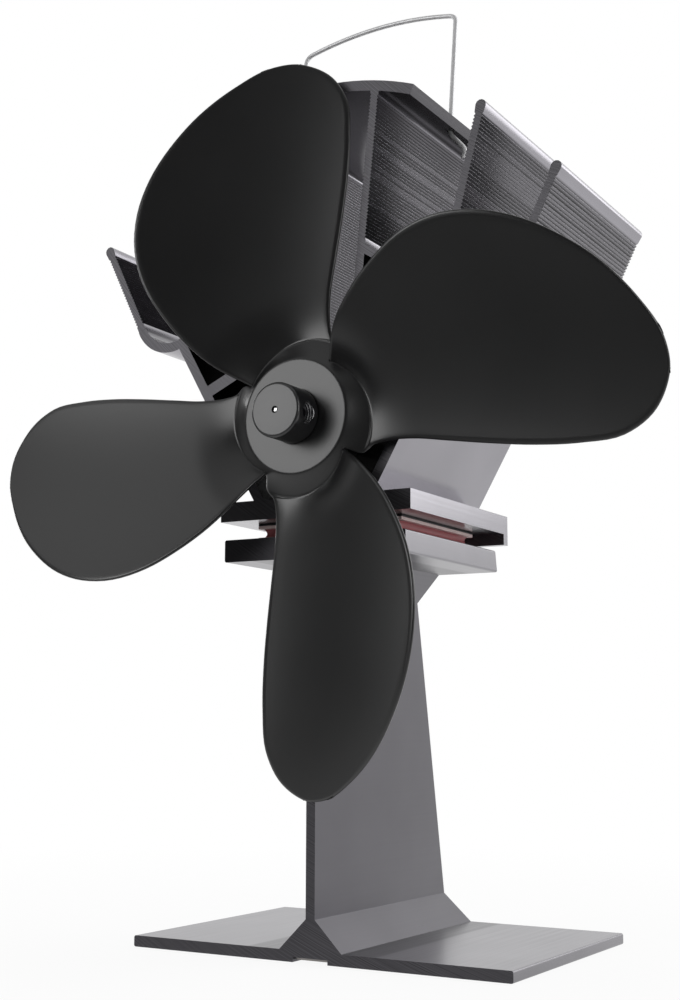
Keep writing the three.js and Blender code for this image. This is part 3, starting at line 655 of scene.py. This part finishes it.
# Heat sink: one extrusion in the same metal as the stand, with a plate, two trunks, a ring round the
# motor, ribbed fins and a vaulted roof, sawn off square and drilled for the handle.
sink_edge = 0.00009
roof_half = 0.034
roof_radius = 0.075
roof_inside = 0.0722
# Painted shade levels: the roof is painted darker, and so are the flats among the ribs.
roof_shade_level = 0.24
flat_shade_level = 0.45
plain_turn = 0.4
plate_rise = 0.0076
trunk_foot = (0.0145, 0.0064)
trunk_head = (0.0392, 0.0500)
weld = 0.000002

sink = cad_nodes["heat_sink"].copy()
sink.data = cad_nodes["heat_sink"].data.copy()
sink.name = "sink_extrusion"
sink.parent = None
bpy.context.collection.objects.link(sink)
pick(sink)
bpy.ops.object.mode_set(mode="EDIT")
bpy.ops.mesh.select_all(action="SELECT")
bpy.ops.mesh.remove_doubles(threshold=weld)
bpy.ops.mesh.select_all(action="SELECT")
bpy.ops.mesh.dissolve_limited(angle_limit=math.radians(0.5))
bpy.ops.object.mode_set(mode="OBJECT")
soften(sink, sink_edge)
stands_for(sink, "base", "anodised_aluminium", "heat_sink")
sink_low, sink_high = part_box("heat_sink")
roof_axis = sink_high.z - roof_radius


def sink_shade_level(co, turn):
    """Painted shade level of a corner: nearly black inside the trunks, where only shade is, darker on the
    roof, light outside the trunks, and above by its grooves and crests, with the flats among the ribs
    darker.
    """
    side, rise = abs(co.x), co.z - sink_low.z
    if side < roof_half and math.hypot(side, co.z - roof_axis) > roof_inside:
        return roof_shade_level
    if rise > trunk_head[1]:
        return turn if abs(turn - 0.5) > plain_turn else flat_shade_level
    up_trunk = (rise - trunk_foot[1]) / (trunk_head[1] - trunk_foot[1])
    trunk_middle = trunk_foot[0] + (trunk_head[0] - trunk_foot[0]) * up_trunk
    return 0.0 if side < trunk_middle and rise > plate_rise - hair else 1.0


mark_shade_and_wear(sink, sink_shade_level)
# On the heat sink the second tone, below z 0.148, is a little darker than the tone above z 0.152.
anodised(
    "anodised_sink", sink, base=(0.200, 0.194, 0.211), polished=(0.186, 0.181, 0.195),
    sawn=(0.120, 0.117, 0.126), axis="Z", second_tone_from=0.152, second_tone_to=0.148, gloss=0.20,
)


# Motor: a small brushed motor pressed into the ring of the heat sink. Its can is drawn steel, closed
# behind by a plastic cap that holds the brushes, their brass terminals and the rear bronze bush.
can_low, can_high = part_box("motor_can")
cap_low, cap_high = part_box("motor_end_cap")
shaft_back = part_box("motor_shaft")[1].y
axis_z = (can_low.z + can_high.z) / 2
can_radius = (can_high.z - can_low.z) / 2
can_wall = 0.0008
nose_radius = 0.004
nose_length = 0.0017
bush_radius = 0.0029
bush_gap = 0.0003
bush_bore_radius = 0.00085
shaft_radius = 0.00075
shaft_past_hub = 0.0003
shaft_nose = [(0.45, 0.0), (0.8, 0.12), (1.0, 0.4)]
shaft_tail = [(1.0, 0.3), (0.7, 0.0)]
can_edge = 0.0003
cap_edge = 0.00015
cap_groove_depth = 0.0005
cap_groove_shares = (0.62, 0.58, 0.42, 0.38)
terminal_edge = 0.00006
terminal_taper = 0.6
bush_edge = 0.0002
turned_sides = 72
along_motor = Matrix.Translation((0.0, 0.0, axis_z)) @ Matrix.Rotation(-math.pi / 2, 4, "X")


def turned(name, profile, ring, frame_of_axis=along_motor, sides=turned_sides):
    """Turns a profile of radius and place along an axis; a ring closes on itself, a rod gets ends."""
    radius, last = profile[0]
    piece = new_piece(
        name, bpy.ops.mesh.primitive_circle_add,
        vertices=sides, radius=radius, location=(0.0, 0.0, last),
    )
    settle(piece)
    bpy.ops.object.mode_set(mode="EDIT")
    bpy.ops.mesh.select_mode(type="EDGE")
    bpy.ops.mesh.select_all(action="SELECT")
    for next_radius, place in profile[1:] + profile[:1] * ring:
        share = next_radius / radius
        pull((0.0, 0.0, place - last))
        bpy.ops.transform.resize(value=(share, share, 1.0), center_override=(0.0, 0.0, place))
        radius, last = next_radius, place
    bpy.ops.mesh.select_all(action="SELECT")
    if ring:
        bpy.ops.mesh.remove_doubles(threshold=weld)
    else:
        bpy.ops.mesh.fill_holes(sides=0)
    bpy.ops.mesh.select_all(action="SELECT")
    bpy.ops.mesh.normals_make_consistent(inside=False)
    bpy.ops.object.mode_set(mode="OBJECT")
    piece.matrix_world = frame_of_axis
    settle(piece)
    return piece


can_front = can_low.y + nose_length
can = turned("can_drawn", [
    (bush_radius + bush_gap, can_low.y),
    (nose_radius, can_low.y),
    (nose_radius, can_front),
    (can_radius, can_front),
    (can_radius, can_high.y),
    (can_radius - can_wall, can_high.y),
    (can_radius - can_wall, can_front + can_wall),
    (bush_radius + bush_gap, can_front + can_wall),
], ring=True)
soften(can, can_edge, segments=3)
stands_for(can, "base", "motor_steel", "motor_can")

cap_radius = (cap_high.z - cap_low.z) / 2
groove_floor = cap_high.y - cap_groove_depth
groove_depths = (cap_high.y, groove_floor, groove_floor, cap_high.y)
cap = turned("cap_moulded", [
    (bush_radius + bush_gap, cap_low.y),
    (cap_radius, cap_low.y),
    (cap_radius, cap_high.y),
    *[(cap_radius * share, place) for share, place in zip(cap_groove_shares, groove_depths)],
    (bush_radius + bush_gap, cap_high.y),
], ring=True)
terminals = []
terminal_room = Vector((bush_gap, can_wall / 2, bush_gap))
for side in ("right", "left"):
    low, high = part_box("motor_terminal_" + side)
    cut(cap, block("terminal_slot", low - terminal_room, high + terminal_room))
    terminal = block("terminal_tab_" + side, low, high)
    bpy.ops.object.mode_set(mode="EDIT")
    choose(terminal, "FACE", lambda co: co.y > high.y - hair)
    bpy.ops.transform.resize(value=(1.0, 1.0, terminal_taper), center_override=(low + high) / 2)
    bpy.ops.object.mode_set(mode="OBJECT")
    soften(terminal, terminal_edge)
    stands_for(terminal, "base", "brass", "motor_terminal_" + side)
    terminals.append(terminal)
soften(cap, cap_edge)
stands_for(cap, "base", "black_plastic", "motor_end_cap")

bushes = []
for end in ("front", "rear"):
    low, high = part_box("motor_bush_" + end)
    bush = turned("bush_" + end, [
        (bush_bore_radius, low.y),
        (bush_radius, low.y),
        (bush_radius, high.y),
        (bush_bore_radius, high.y),
    ], ring=True)
    soften(bush, bush_edge)
    stands_for(bush, "base", "bronze", "motor_bush_" + end)
    bushes.append(bush)

shaft_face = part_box("fan_hub")[0].y + shaft_past_hub
shaft_profile = [(wide * shaft_radius, shaft_face + deep * shaft_radius) for wide, deep in shaft_nose]
shaft_profile += [(wide * shaft_radius, shaft_back - deep * shaft_radius) for wide, deep in shaft_tail]
shaft = turned("shaft_ground", shaft_profile, ring=False, sides=32)
smooth(shaft, sharper_than=30)
stands_for(shaft, "fan", "steel", "motor_shaft")

brushed_metal("can_steel", (0.30, 0.30, 0.32), (0.42, 0.42, 0.44), 0.30, 300.0, can)
brushed_metal("shaft_steel", (0.62, 0.62, 0.63), (0.78, 0.78, 0.79), 0.2, 1500.0, shaft)
brushed_metal("sintered_bronze", (0.30, 0.18, 0.09), (0.46, 0.29, 0.16), 0.42, 2500.0, *bushes)
brushed_metal("tinned_brass", (0.58, 0.45, 0.24), (0.72, 0.60, 0.38), 0.28, 900.0, *terminals)
brushed_metal(
    "copper_windings", (0.50, 0.21, 0.10), (0.68, 0.32, 0.17), 0.33, 600.0,
    cad_nodes["motor_armature"], cad_nodes["motor_commutator"],
)
mottled("cap_plastic", (0.011, 0.011, 0.012), (0.02, 0.02, 0.021), 0.42, 600.0, 0.2, cap)
mottled(
    "ferrite", (0.035, 0.034, 0.034), (0.06, 0.058, 0.058), 0.6, 500.0, 0.3,
    cad_nodes["motor_magnet_left"], cad_nodes["motor_magnet_right"],
)
mottled(
    "brush_carbon", (0.02, 0.02, 0.02), (0.04, 0.04, 0.04), 0.5, 900.0, 0.2,
    cad_nodes["motor_brush_left"], cad_nodes["motor_brush_right"],
)


# Leads: two thin stranded wires in silicone, red and black. They leave the back of the module, pass
# under the lip of the heat sink, climb behind it and turn in to the terminals in the bore.
lead_radius = 0.00055
lead_route = [
    (0.0030, 0.04680, 0.10095), (0.0030, 0.04815, 0.10068), (0.0030, 0.05350, 0.09955),
    (0.0030, 0.05600, 0.09955), (0.0030, 0.05770, 0.10255), (0.0030, 0.05770, 0.11270),
    (0.0030, 0.05770, 0.12285), (0.0030, 0.05470, 0.12585), (0.0030, 0.03860, 0.12285),
    (0.0045, 0.02250, 0.12530), (0.0060, 0.01950, 0.12585),
]


def close_up(piece, reach):
    """Merges the corners of a piece that lie within reach and turns its faces outwards."""
    pick(piece)
    bpy.ops.object.mode_set(mode="EDIT")
    bpy.ops.mesh.select_all(action="SELECT")
    bpy.ops.mesh.remove_doubles(threshold=reach)
    bpy.ops.mesh.normals_make_consistent(inside=False)
    bpy.ops.object.mode_set(mode="OBJECT")


def bent_wire(name, points, radius, splined):
    """A round wire along points: a spline through them, or the points themselves if they are fine."""
    curve = bpy.data.curves.new(name, "CURVE")
    curve.dimensions = "3D"
    curve.bevel_depth = radius
    curve.bevel_resolution = 5
    curve.use_fill_caps = True
    if splined:
        curve.resolution_u = 16
        spline = curve.splines.new("BEZIER")
        spline.bezier_points.add(len(points) - 1)
        for knot, point in zip(spline.bezier_points, points):
            knot.co = point
            knot.handle_left_type = "AUTO"
            knot.handle_right_type = "AUTO"
    else:
        spline = curve.splines.new("POLY")
        spline.points.add(len(points) - 1)
        for knot, point in zip(spline.points, points):
            knot.co = (*point, 1.0)
    wire = bpy.data.objects.new(name, curve)
    bpy.context.collection.objects.link(wire)
    pick(wire)
    bpy.ops.object.convert(target="MESH")
    wire = bpy.context.object
    close_up(wire, weld)
    smooth(wire, sharper_than=40)
    return wire


leads = []
for colour, side in (("red", 1), ("black", -1)):
    points = [(side * x, front_y + back, z) for x, back, z in lead_route]
    lead = bent_wire("lead_" + colour + "_silicone", points, lead_radius, splined=True)
    stands_for(lead, "base", colour + "_insulation", "lead_" + colour)
    leads.append(lead)
mottled("red_silicone", (0.36, 0.016, 0.012), (0.46, 0.03, 0.02), 0.4, 400.0, 0.2, leads[0])
mottled("black_silicone", (0.012, 0.012, 0.012), (0.02, 0.02, 0.02), 0.4, 400.0, 0.2, leads[1])


# Fan: one aluminium sheet, pressed into a raised disc, a skirt and four twisted blades with slit
# roots, then coated satin black. The disc is clamped by the hub.
fan_turn = math.radians(10.95)
blade_count = 4
tip_radius = 0.0896
sheet_thickness = 0.0009
bore_radius = 0.0049
disc_radius = 0.0133
disc_front = -0.0085
shoulder_run = 0.0006
steep_run = 0.0008
steep_slope = 0.74
shallow_run = 0.0034
shallow_slope = 0.52
slit_radius = 0.0152
crease_radius = 0.0181
crease_skew = 0.0029
crease_bow = 0.0015
crease_search_end = 3.0
crease_halvings = 30
root_radius = 0.018
root_plane = -0.00735
root_slope = 0.262
tip_slope = 0.412
forward_lean = 0.045
curl_radius = 0.132
root_reach = 0.012
bead_height = 0.00013
bead_half = 0.0003
coat_gloss = 0.04
coat_cloud = 28.0
coat_ior = 1.75
peel_grain = 1100.0
peel_bump = 0.12
peel_relief = 0.00004
edge_steps = (0.0, 0.00012, 0.00036)
edge_thickness = (0.22, 0.7, 1.0)
disc_rows = 4
shoulder_rows = 6
slope_rows = 3
skirt_rows = 10
skirt_row_growth = 1.7
blade_rows = 72
blade_row_growth = 1.5
sheet_columns = 36
rear_edge_shares = [
    (0.159, -0.1405), (0.191, -0.127), (0.228, -0.1275), (0.301, -0.142), (0.395, -0.174),
    (0.501, -0.211), (0.61, -0.2455), (0.724, -0.2725), (0.835, -0.283), (0.917, -0.251),
    (0.961, -0.204), (0.979, -0.171),
]
front_edge_shares = [
    (0.136, 0.1375), (0.174, 0.179), (0.2655, 0.249), (0.346, 0.289), (0.4375, 0.319),
    (0.542, 0.326), (0.645, 0.3035), (0.741, 0.2565), (0.829, 0.1865), (0.907, 0.097),
    (0.959, 0.002), (0.988, -0.09),
]


def along_edge(points, place, beyond):
    """The point of a smooth curve through the points, its place counted in points, heading beyond."""
    knots = points + [beyond]
    index = min(int(place), len(points) - 2)
    share = place - index
    a, b, c, d = [Vector(knots[step]) for step in (max(index - 1, 0), index, index + 1, index + 2)]
    before, within, after = (b - a).length, (c - b).length, (d - c).length
    leave = c - b
    if before > 0.0:
        leave = ((b - a) * within ** 2 / before + leave * before) / (before + within)
    arrive = ((c - b) * after + (d - c) * within ** 2 / after) / (within + after)
    cubic = 2 * b - 2 * c + leave + arrive
    square = 3 * c - 3 * b - 2 * leave - arrive
    return cubic * share ** 3 + square * share ** 2 + leave * share + b


def skirt_place(radius):
    """How far along Y the sheet lies on the disc, its shoulder and the skirt, which flattens out."""
    bend = clamp((radius - disc_radius) / shoulder_run) * shoulder_run
    steep = clamp((radius - disc_radius - shoulder_run) / steep_run) * steep_run
    shallow = max(0.0, radius - disc_radius - shoulder_run - steep_run)
    fall = steep_slope * (bend ** 2 / (2 * shoulder_run) + steep + shallow)
    fall -= (steep_slope - shallow_slope) * shallow ** 2 / (2 * shallow_run)
    return disc_front + sheet_thickness / 2 + fall


def blade_place(out, across):
    """The pitched and curled face of a blade."""
    slope = blend(root_slope, tip_slope, out / tip_radius)
    lean = forward_lean * (out - root_radius)
    return root_plane - lean - slope * across - across ** 2 / (2 * curl_radius)


def crease_at(side):
    """The radius at which the skirt folds into the blade; side is the sine of the way off its middle."""
    return crease_radius - crease_skew * side - crease_bow * side ** 2


def sheet_place(out, across):
    """The skirt as far as the crease, a round bead there, then a blade that rises into its own face."""
    radius = math.hypot(out, across)
    crease = crease_at(across / radius)
    bead = bead_height * math.exp(-((radius - crease) / bead_half) ** 2)
    if radius <= crease:
        return skirt_place(radius) - bead
    share = crease / radius
    lag = skirt_place(crease) - blade_place(out * share, across * share)
    left = max(0.0, 1.0 - (radius - crease) / root_reach)
    return blade_place(out, across) + lag * left ** 2 - bead


def edges_at(place):
    """The points of the rear and the front edge at a place along them."""
    rear = along_edge(rear_points, place, front_points[-1])
    return rear, along_edge(front_points, place, rear_points[-1])


def turned_between(rear, front, share):
    """The radius and the angle a share of the way from one point to another."""
    radius = blend(math.hypot(*rear), math.hypot(*front), share)
    return radius, blend(math.atan2(rear[1], rear[0]), math.atan2(front[1], front[0]), share)


def sheet_point(place, column_share):
    """A point of one quarter of the sheet beyond the slits, as a radius and an angle."""
    radius, angle = turned_between(*edges_at(place), column_share)
    near_tip = clamp(place - last_place + 1) ** 2
    tip = along_edge(rear_points[-2:] + front_points[-1:], 1.0 + column_share, front_points[-2])
    last_radius, last_angle = turned_between(rear_points[-1], front_points[-1], column_share)
    radius += near_tip * (math.hypot(*tip) - last_radius)
    angle += near_tip * (math.atan2(tip[1], tip[0]) - last_angle)
    return radius * tip_radius, angle


def column_at(column, width):
    """The share across the sheet of a column: the outer ones follow close on each rounded edge."""
    inner = len(edge_steps) - 1
    if column <= inner:
        return edge_steps[column] / width
    if column >= sheet_columns - inner:
        return 1.0 - edge_steps[sheet_columns - column] / width
    return (column - inner) / (sheet_columns - 2 * inner)


def width_at(place):
    """How wide the blade is at a place along its edges."""
    rear, front = edges_at(place)
    return (front - rear).length * tip_radius


def crease_place(column_share):
    """How far out along the edges, counted in points, a column meets the crease."""
    near, far = 0.0, crease_search_end
    for halving in range(crease_halvings):
        middle = (near + far) / 2
        radius, angle = sheet_point(middle, column_share)
        if radius < crease_at(math.sin(angle)):
            near = middle
        else:
            far = middle
    return far


def thickness_at(point, outline):
    """The share of its full thickness that the sheet has at a point, less along its round outline."""
    nearest = edge_steps[-1]
    for start, end in zip(outline, outline[1:]):
        run = end - start
        share = clamp((point - start).dot(run) / run.length_squared)
        nearest = min(nearest, (start + run * share - point).length)
    for near, far, thin, thick in zip(edge_steps, edge_steps[1:], edge_thickness, edge_thickness[1:]):
        if nearest <= far:
            return blend(thin, thick, (nearest - near) / (far - near))
    return 1.0


quarter = 2 * math.pi / blade_count
slit_angle = quarter / 2
slit_out = slit_radius * math.cos(slit_angle) / tip_radius
rear_points = [(slit_out, -slit_out)] + rear_edge_shares
front_points = [(slit_out, slit_out)] + front_edge_shares
ring_radii = [blend(bore_radius, disc_radius, step / disc_rows) for step in range(disc_rows)]
ring_radii += [disc_radius + shoulder_run * step / shoulder_rows for step in range(shoulder_rows + 1)]
ring_radii += [
    blend(disc_radius + shoulder_run, slit_radius, step / slope_rows) for step in range(1, slope_rows + 1)
]
last_place = len(rear_edge_shares)
row_count = len(ring_radii) + skirt_rows + blade_rows
crease_places = [crease_place(column_at(column, 1.0)) for column in range(sheet_columns + 1)]

fan = new_piece(
    "fan_stamping", bpy.ops.mesh.primitive_grid_add,
    x_subdivisions=row_count - 1, y_subdivisions=sheet_columns, size=1.0,
)
grid = {}
for vertex in fan.data.vertices:
    row = round((vertex.co.x + 0.5) * (row_count - 1))
    column = round((vertex.co.y + 0.5) * sheet_columns)
    past_rings = row - len(ring_radii) + 1
    if past_rings <= 0:
        radius = ring_radii[row]
        angle = slit_angle + (column_at(column, radius * quarter) - 1.0) * quarter
    else:
        if past_rings <= skirt_rows:
            share = 1.0 - (1.0 - past_rings / skirt_rows) ** skirt_row_growth
            place = crease_places[column] * share
        else:
            near = ((past_rings - skirt_rows) / blade_rows) ** blade_row_growth
            far = (1.0 - (past_rings - skirt_rows) / blade_rows) ** blade_row_growth
            place = blend(crease_places[column], last_place, near / (near + far))
        radius, angle = sheet_point(place, column_at(column, width_at(place)))
    out, across = radius * math.cos(angle), radius * math.sin(angle)
    vertex.co = (out, sheet_place(out, across), across)
    grid[row, column] = vertex.co.xz
slit_row = len(ring_radii) - 1
tip_row = row_count - 1
outline = [grid[row, 0] for row in range(slit_row, tip_row)]
outline += [grid[tip_row, column] for column in range(sheet_columns)]
outline += [grid[row, sheet_columns] for row in range(tip_row, slit_row - 1, -1)]
thickness = fan.vertex_groups.new(name="thickness")
ring_reach = slit_radius + hair
for vertex in fan.data.vertices:
    share = 1.0
    if vertex.co.xz.length > ring_reach:
        share = thickness_at(vertex.co.xz, outline)
    thickness.add([vertex.index], share, "REPLACE")
fan.data.materials.append(None)
fan.data.materials.append(None)
for face in fan.data.polygons:
    weights = [fan.data.vertices[index].groups[0].weight for index in face.vertices]
    face.material_index = int(min(weights) < 1.0)
quarters = [fan]
for index in range(1, blade_count):
    copy = fan.copy()
    copy.data = fan.data.copy()
    bpy.context.collection.objects.link(copy)
    copy.rotation_euler = (0.0, -index * quarter, 0.0)
    settle(copy)
    quarters.append(copy)
pick(fan)
for piece in quarters:
    piece.select_set(True)
bpy.ops.object.join()
close_up(fan, hair)
sheet = fan.modifiers.new("sheet", "SOLIDIFY")
sheet.thickness = sheet_thickness
sheet.offset = 0.0
sheet.vertex_group = thickness.name
bpy.ops.object.modifier_apply(modifier=sheet.name)
bpy.ops.object.shade_smooth()
fan.rotation_euler = (0.0, -fan_turn, 0.0)
fan.location = (0.0, front_y, axis_z)
settle(fan)
stands_for(fan, "fan", "blade_black", "fan_blades")


def satin_black(name, dark, bright, roughness, piece):
    """Sprayed satin coat: nearly black, a soft sheen, a fine orange peel and a slow cloud of gloss."""
    glosses = (roughness - coat_gloss, roughness + coat_gloss)
    tree, shader, place, cloud = grained(name, (), dark, bright, glosses, coat_cloud, detail=3.0)
    peel = add_node(tree, "TexNoise", {"Vector": place, "Scale": peel_grain, "Detail": 2.0})["Fac"]
    feed(tree, shader, {"IOR": coat_ior})
    raised(tree, shader, peel, peel_bump, peel_relief)
    piece.data.materials[0] = bpy.data.materials[name]


satin_black("blade_coat", (0.0040, 0.0040, 0.0043), (0.0066, 0.0066, 0.007), 0.30, fan)
# The rounded outline of the sheet takes a lighter grey metal than the coat.
brushed_metal("worn_edge", (0.16, 0.16, 0.16), (0.40, 0.40, 0.40), 0.36, 260.0)
fan.data.materials[1] = bpy.data.materials["worn_edge"]


# Hub: a turned boss that clamps the disc against a collar behind it, black like the fan. A grub screw
# in a threaded hole in its side holds it on the shaft.
boss_radius = 0.00655
boss_front = -0.0173
boss_round = 0.00075
boss_round_steps = 6
neck_radius = 0.0046
collar_radius = 0.007
collar_thickness = 0.001
clamp_gap = 0.0003
thread_major = 0.00265
thread_minor = 0.0023
thread_pitch = 0.0007
thread_flanks = [(thread_minor, 0.15), (thread_major, 0.45), (thread_major, 0.60), (thread_minor, 0.90)]
screw_radius = 0.002
screw_length = 0.004
screw_tip_radius = 0.0015
screw_tip_length = 0.0005
screw_rim_radius = 0.0017
screw_rim_length = 0.0003
socket_radius = 0.00115
socket_depth = 0.002
socket_point_radius = 0.00023
socket_point_length = 0.0005
screw_turn = math.radians(-5)
screw_y = -0.0129
screw_inner = shaft_radius + clamp_gap
screw_outer = screw_inner + screw_length

disc_back = disc_front + sheet_thickness
boss_profile = [(bush_bore_radius, boss_front)]
for step in range(boss_round_steps + 1):
    angle = math.pi / 2 * step / boss_round_steps
    boss_profile.append((
        boss_radius - boss_round * (1.0 - math.sin(angle)),
        boss_front + boss_round * (1.0 - math.cos(angle)),
    ))
boss_profile += [
    (boss_radius, disc_front - clamp_gap),
    (neck_radius, disc_front - clamp_gap),
    (neck_radius, disc_back + clamp_gap),
    (collar_radius, disc_back + clamp_gap),
    (collar_radius, disc_back + clamp_gap + collar_thickness),
    (bush_bore_radius, disc_back + clamp_gap + collar_thickness),
]
boss = turned("hub_boss", [(radius, front_y + place) for radius, place in boss_profile], ring=True)

screw_way = Vector((math.cos(screw_turn), 0.0, math.sin(screw_turn)))
along_screw = (
    Matrix.Translation((0.0, front_y + screw_y, axis_z))
    @ screw_way.to_track_quat("Z", "Y").to_matrix().to_4x4()
)
thread_profile = [(thread_minor, 0.0)]
turn_count = int(boss_radius / thread_pitch) + 2
for index in range(turn_count):
    for radius, share in thread_flanks:
        thread_profile.append((radius, (index + share) * thread_pitch))
cut(boss, turned("thread_tap", thread_profile, False, along_screw, sides=40))
smooth(boss, sharper_than=28)
boss.data.materials.append(None)
boss.data.materials.append(None)
bpy.ops.object.mode_set(mode="EDIT")
into_screw = along_screw.inverted()


def in_thread(co):
    """Whether a point lies on the wall of the threaded hole."""
    local = into_screw @ co
    return local.z > 0.0 and math.hypot(local.x, local.y) < thread_major + hair


choose(boss, "FACE", in_thread)
boss.active_material_index = 1
bpy.ops.object.material_slot_assign()
bpy.ops.object.mode_set(mode="OBJECT")
stands_for(boss, "fan", "hub_black", "fan_hub")

screw = turned("grub_screw", [
    (screw_tip_radius, screw_inner),
    (screw_radius, screw_inner + screw_tip_length),
    (screw_radius, screw_outer - screw_rim_length),
    (screw_rim_radius, screw_outer),
], False, along_screw, sides=40)
cut(screw, turned("hex_key", [
    (socket_point_radius, screw_outer - socket_depth),
    (socket_radius, screw_outer - socket_depth + socket_point_length),
    (socket_radius, screw_outer + socket_depth),
], False, along_screw, sides=6))
smooth(screw, sharper_than=28)
stands_for(screw, "fan", "steel", "hub_grub_screw")
satin_black("hub_coat", (0.011, 0.011, 0.012), (0.016, 0.016, 0.017), 0.28, boss)
brushed_metal("cut_thread", (0.55, 0.55, 0.56), (0.72, 0.72, 0.73), 0.25, 900.0)
boss.data.materials[1] = bpy.data.materials["cut_thread"]
brushed_metal("screw_steel", (0.10, 0.10, 0.11), (0.20, 0.20, 0.21), 0.35, 1500.0, screw)


# Handle: one length of bright steel wire, bowed at the top. Its legs pass through two holes in the
# roof of the heat sink and hook outwards under it, so it swings to and fro in them.
wire_radius = 0.0006
leg_x = 0.0239
corner_x = 0.0226
handle_rise = 0.0332
handle_skew = 0.0007
crown_rise = 0.0031
tail_x = 0.0288
tail_drop = 0.0076
tail_end = 0.0026
tail_tuck = 0.0006
neck_drop = 0.002
wire_bend = 0.002
handle_lean = math.radians(11.3)
crown_share = 0.82
crown_steps = 18
wire_metal = 0.5
bend_steps = 6

pivot = Vector(next(joint["pos_m"] for joint in frame["joints"] if joint["name"] == "handle_tilt"))


def crown_point(side):
    """A point of the bowed top, side from 1 at the right corner to -1 at the left."""
    return (corner_x * side, handle_rise + handle_skew * side + crown_rise * (1.0 - side ** 2))


def rounded(points, bend):
    """The points of a bent line, its corners rounded as far as the bend reaches."""
    line = [points[0]]
    for before, corner, after in zip(points, points[1:], points[2:]):
        start = corner + (before - corner) * min(bend / (before - corner).length, 0.5)
        end = corner + (after - corner) * min(bend / (after - corner).length, 0.5)
        for step in range(bend_steps + 1):
            share = step / bend_steps
            line.append(start.lerp(corner, share).lerp(corner.lerp(end, share), share))
    return line + [points[-1]]


handle_points = [
    (tail_x - tail_tuck, -tail_drop - tail_end),
    (tail_x, -tail_drop),
    (leg_x, -neck_drop),
    crown_point(1.0),
]
handle_points += [
    crown_point(crown_share * (1.0 - 2.0 * step / crown_steps)) for step in range(crown_steps + 1)
]
handle_points += [
    crown_point(-1.0),
    (-leg_x, -neck_drop),
    (-tail_x, -tail_drop),
    (tail_tuck - tail_x, -tail_drop - tail_end),
]
wire_line = rounded([Vector((x, 0.0, z)) for x, z in handle_points], wire_bend)
leaning = Matrix.Translation(pivot) @ Matrix.Rotation(-handle_lean, 4, "X")
handle = bent_wire("handle_wire", [leaning @ point for point in wire_line], wire_radius, splined=False)
stands_for(handle, "handle", "bright_wire", "carry_handle")
wire_coat = brushed_metal("bright_wire", (0.66, 0.66, 0.67), (0.74, 0.74, 0.75), 0.42, 120.0, handle)
wire_coat.inputs["Metallic"].default_value = wire_metal
